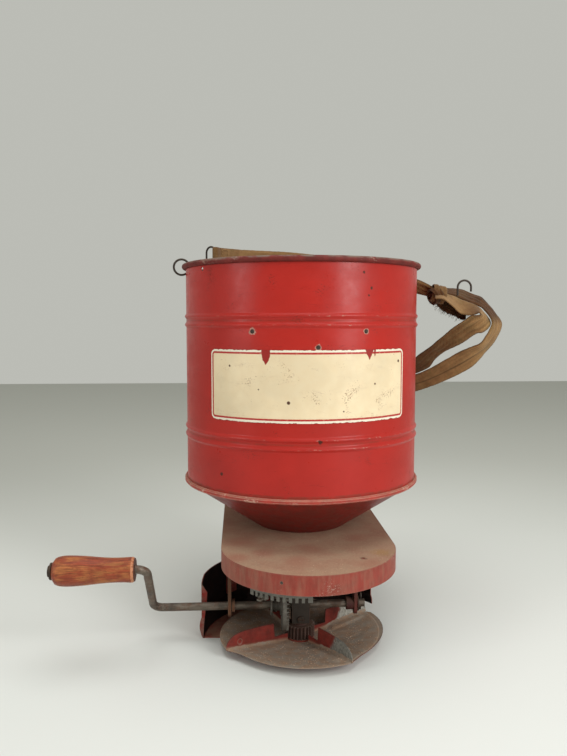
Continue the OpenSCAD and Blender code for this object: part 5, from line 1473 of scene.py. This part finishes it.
class SPREADER_OT_stage(bpy.types.Operator):
    """Make the floor, the surroundings and the window lights"""
    bl_idname = "spreader.stage"
    bl_label = "Stage"

    surroundings: bpy.props.FloatVectorProperty(
        name="Surroundings", description="Grey of the room around", subtype="COLOR", size=3,
        default=(0.50, 0.505, 0.465))
    floor_near: bpy.props.FloatVectorProperty(
        name="Floor near", description="Floor in front of the spreader", subtype="COLOR",
        size=3, default=(0.72, 0.74, 0.71))
    floor_far: bpy.props.FloatVectorProperty(
        name="Floor far", description="Floor far from the spreader", subtype="COLOR",
        size=3, default=(0.50, 0.505, 0.465))

    def floor(self, context):
        half = context.scene.spreader_sizes.floor_half
        mesh = bpy.data.meshes.new("floor")
        mesh.from_pydata([(-half, -half, 0), (half, -half, 0), (half, half, 0),
                          (-half, half, 0)], [], [(0, 1, 2, 3)])
        material, t, shader = new_finish("pale floor", 0.2)
        away = t.vector("DISTANCE", t.place(), (0.0, -350.0, 0.0))
        tint = t.mix(t.ramp(away, 150.0, 1500.0), (*self.floor_near, 1.0),
                     (*self.floor_far, 1.0))
        t.put(tint, shader.inputs["Base Color"])
        shader.inputs["Roughness"].default_value = 0.8
        mesh.materials.append(material)
        floor = bpy.data.objects.new("floor", mesh)
        context.scene.collection.objects.link(floor)

    def light(self, context, name, place, aim, size, power, tint=(1.0, 1.0, 1.0)):
        lamp = bpy.data.lights.new(name, "AREA")
        lamp.shape = "RECTANGLE"
        lamp.size, lamp.size_y = size
        lamp.energy = power
        lamp.color = tint
        holder = bpy.data.objects.new(name, lamp)
        way = Vector(aim) - Vector(place)
        holder.matrix_world = (Matrix.Translation(place)
                               @ way.to_track_quat("-Z", "Y").to_matrix().to_4x4())
        context.scene.collection.objects.link(holder)

    def execute(self, context):
        context.scene.view_settings.view_transform = "Standard"
        self.floor(context)
        world = bpy.data.worlds.new("pale room")
        world.use_nodes = True
        background = world.node_tree.nodes["Background"]
        background.inputs["Color"].default_value = (*self.surroundings, 1.0)
        background.inputs["Strength"].default_value = 1.0
        context.scene.world = world
        self.light(context, "right window", (1.06, -1.13, 0.80), (0.0, 0.0, 0.22),
                   (0.50, 1.0), 17.0)
        self.light(context, "left window", (-1.39, -0.70, 0.70), (0.0, 0.0, 0.22),
                   (0.45, 0.9), 5.0)
        self.light(context, "ceiling", (0.1, -0.1, 2.0), (0.0, 0.0, 0.0), (1.4, 1.4), 16.0)
        return {"FINISHED"}


class SPREADER_OT_finishes(bpy.types.Operator):
    """Give every node of the frame its finish"""
    bl_idname = "spreader.finishes"
    bl_label = "Finishes"

    def execute(self, context):
        colours = context.scene.spreader_colours
        by_slot, by_node = slot_finishes(colours), node_finishes(colours)
        for part in frame["record"]["subparts"]:
            mesh = NODES[part["node"]].data
            mesh.materials.clear()
            mesh.materials.append(by_node.get(part["node"], by_slot[part["material_slot"]]))
        return {"FINISHED"}


class SPREADER_OT_seam(bpy.types.Operator):
    """Fold the upright seam at the back of the hopper"""
    bl_idname = "spreader.seam"
    bl_label = "Hopper seam"

    low: bpy.props.FloatProperty(
        name="Low end", description="Height of the seam's foot above the hem",
        default=0.006, unit="LENGTH")
    high: bpy.props.FloatProperty(
        name="High end", description="Height of the seam's top above the hem",
        default=0.2308, unit="LENGTH")

    def execute(self, context):
        mesh = hopper_seam_mesh("hopper_seam", self.low / MM, self.high / MM)
        material = NODES["hopper_shell"].data.materials[0]
        new_piece("hopper_seam", mesh, material, "spreader")
        return {"FINISHED"}


class SPREADER_OT_strap(bpy.types.Operator):
    """Lay the webbing over the rim, knot it and fold its long run"""
    bl_idname = "spreader.strap"
    bl_label = "Carrying strap"

    def execute(self, context):
        webbing = webbing_finish("soiled webbing", context.scene.spreader_colours)
        bands = {
            "strap_over_rim": Band(OVER_RIM, wrinkle=0.7, fray=0.35, seed=2.0),
            "strap_folded_run": Band(FOLDED_RUN, wrinkle=0.7, fray=0.3, seed=8.0),
            "strap_torn_end": Band(TORN_END, wrinkle=1.6, fray=2.2, seed=15.0, step=0.7,
                                   pleats=4.5, thickness=3.0),
            "strap_sewn_end": Band(sewn_end_rows(), wrinkle=0.2, fray=0.3, seed=21.0,
                                   step=0.8),
        }
        for name, band in bands.items():
            new_piece(name, band.mesh(name), webbing, "spreader")
        rings = [
            Band(band_ring(KNOT, (1, 0.05, -0.25), (0.1, 0, 1), 9.6, 8.0, 17.0, 0.55),
                 closed=True, wrinkle=1.4, fray=0.4, seed=31.0, step=1.0).mesh("ring one"),
            Band(band_ring(KNOT + Vector((-3.5, -2.0, -2.0)), (1, 0.35, 0.35), (0, 0, 1),
                           8.6, 8.2, 12.0, 0.95),
                 closed=True, wrinkle=1.2, fray=0.4, seed=37.0, step=1.0).mesh("ring two"),
            lumpy_core("core", KNOT, (9.5, 7.5, 8.0), 0.22, 3.0),
        ]
        new_piece("strap_knot", joined("strap_knot", rings), webbing, "spreader")
        for name in bands:
            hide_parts("carrying_strap")
        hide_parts("carrying_strap")
        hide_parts("strap_hem")
        return {"FINISHED"}


class SPREADER_OT_threads(bpy.types.Operator):
    """Stitch the strap's sewn end and grow the fibres of its torn one"""
    bl_idname = "spreader.threads"
    bl_label = "Stitches and fibres"

    stitch_gap: bpy.props.FloatProperty(
        name="Stitch gap", description="Distance from one stitch to the next",
        default=0.0034, unit="LENGTH")
    fibre_density: bpy.props.FloatProperty(
        name="Fibre density", description="Fibres on a square metre of torn cloth",
        default=420000.0)

    def stitch_points(self):
        """Points of the sewn box on the outer face of the strap's first turn"""
        start, second = Vector(OVER_RIM[0][0:3]), Vector(OVER_RIM[2][0:3])
        onward = (second - start).to_2d().normalized().to_3d()
        front = Vector((onward.y, -onward.x, 0)) * 1.15
        up = Vector((0, 0, 1))
        gap = self.stitch_gap / MM
        corners = [(3.0, -10.5), (3.0, 10.5), (12.5, 10.5), (12.5, -10.5)]
        places, aims = [], []
        for first, last in zip(corners, corners[1:] + corners[:1]):
            way = Vector((last[0] - first[0], last[1] - first[1]))
            count = max(1, round(way.length / gap))
            for index in range(count):
                along, high = Vector(first) + way * (index + 0.5) / count
                places.append((start + onward * along + up * high + front) * MM)
                aims.append((onward * way.x + up * way.y).normalized())
        mesh = bpy.data.meshes.new("stitch places")
        mesh.from_pydata(places, [], [])
        aim = mesh.attributes.new("aim", "FLOAT_VECTOR", "POINT")
        aim.data.foreach_set("vector", [value for way in aims for value in way])
        return mesh

    def execute(self, context):
        colours = context.scene.spreader_colours
        thread = worn_metal("waxed thread", colours, colours.cotton, colours.soil, 0.85,
                            wear=0.0, lying=0.0, clinging=0.0)
        mesh = grown_mesh("strap_stitches", self.stitch_points(), stitches_tree(),
                          {"Material": thread})
        new_piece("strap_stitches", mesh, thread, "spreader")
        torn = bpy.data.objects["strap_torn_end"].data.copy()
        count = len(torn.vertices)
        low = [0.0] * count
        torn.attributes["seam"].data.foreach_get("value", low)
        torn.attributes.new("fray", "FLOAT", "POINT").data.foreach_set(
            "value", [min(1.0, 2.0 * value + 0.12) for value in low])
        fibre = worn_metal("loose fibre", colours, (0.09, 0.045, 0.02), colours.soil, 0.9,
                           wear=0.0, lying=0.0, clinging=0.0)
        mesh = grown_mesh("strap_fibres", torn, fibres_tree(), {
            "Material": fibre, "Density": self.fibre_density})
        new_piece("strap_fibres", mesh, fibre, "spreader")
        return {"FINISHED"}


class SPREADER_OT_dust(bpy.types.Operator):
    """Bank dust on the fan and scatter crumbs on the fan and the deck"""
    bl_idname = "spreader.dust"
    bl_label = "Dust and crumbs"

    crumb_density: bpy.props.FloatProperty(
        name="Crumb density", description="Crumbs on a square metre", default=70000.0)

    def execute(self, context):
        colours = context.scene.spreader_colours
        dust = plain_dust_finish("loose dust", colours, 0.85, 0.6)
        crumb = plain_dust_finish("pale crumbs", colours, 1.6, 0.2)
        mesh = fan_dust_mesh("fan_dust")
        new_piece("fan_dust", mesh, dust, "fan")
        tree = crumbs_tree()
        mesh = grown_mesh("fan_crumbs", mesh, tree, {
            "Material": crumb, "Density": self.crumb_density, "Bare radius": 0.016,
            "Size": 0.0009})
        new_piece("fan_crumbs", mesh, crumb, "fan")
        mesh = grown_mesh("deck_crumbs", NODES["deck"].data, tree, {
            "Material": crumb, "Density": self.crumb_density * 0.3, "Size": 0.0007,
            "Bare centre": (HOPPER_X * MM, HOPPER_Y * MM, 0.0), "Bare radius": 0.056,
            "Seed": 9})
        new_piece("deck_crumbs", mesh, crumb, "spreader")
        return {"FINISHED"}


class SPREADER_PT_panel(bpy.types.Panel):
    """Lists the steps that dress the spreader"""
    bl_label = "Broadcast spreader"
    bl_idname = "SPREADER_PT_panel"
    bl_space_type = "VIEW_3D"
    bl_region_type = "UI"
    bl_category = "Spreader"

    def draw(self, context):
        for step in STEPS:
            self.layout.operator(step.bl_idname)


STEPS = (SPREADER_OT_camera, SPREADER_OT_stage, SPREADER_OT_finishes, SPREADER_OT_seam,
         SPREADER_OT_strap, SPREADER_OT_threads, SPREADER_OT_dust)
CLASSES = (SpreaderSizes, SpreaderColours, *STEPS, SPREADER_PT_panel)


def register():
    for cls in CLASSES:
        bpy.utils.register_class(cls)
    bpy.types.Scene.spreader_sizes = bpy.props.PointerProperty(type=SpreaderSizes)
    bpy.types.Scene.spreader_colours = bpy.props.PointerProperty(type=SpreaderColours)


def unregister():
    del bpy.types.Scene.spreader_colours
    del bpy.types.Scene.spreader_sizes
    for cls in reversed(CLASSES):
        bpy.utils.unregister_class(cls)


def main():
    register()
    bpy.ops.spreader.camera()
    bpy.ops.spreader.stage()
    bpy.ops.spreader.finishes()
    bpy.ops.spreader.seam()
    bpy.ops.spreader.strap()
    bpy.ops.spreader.threads()
    bpy.ops.spreader.dust()


if __name__ == "__main__":
    main()
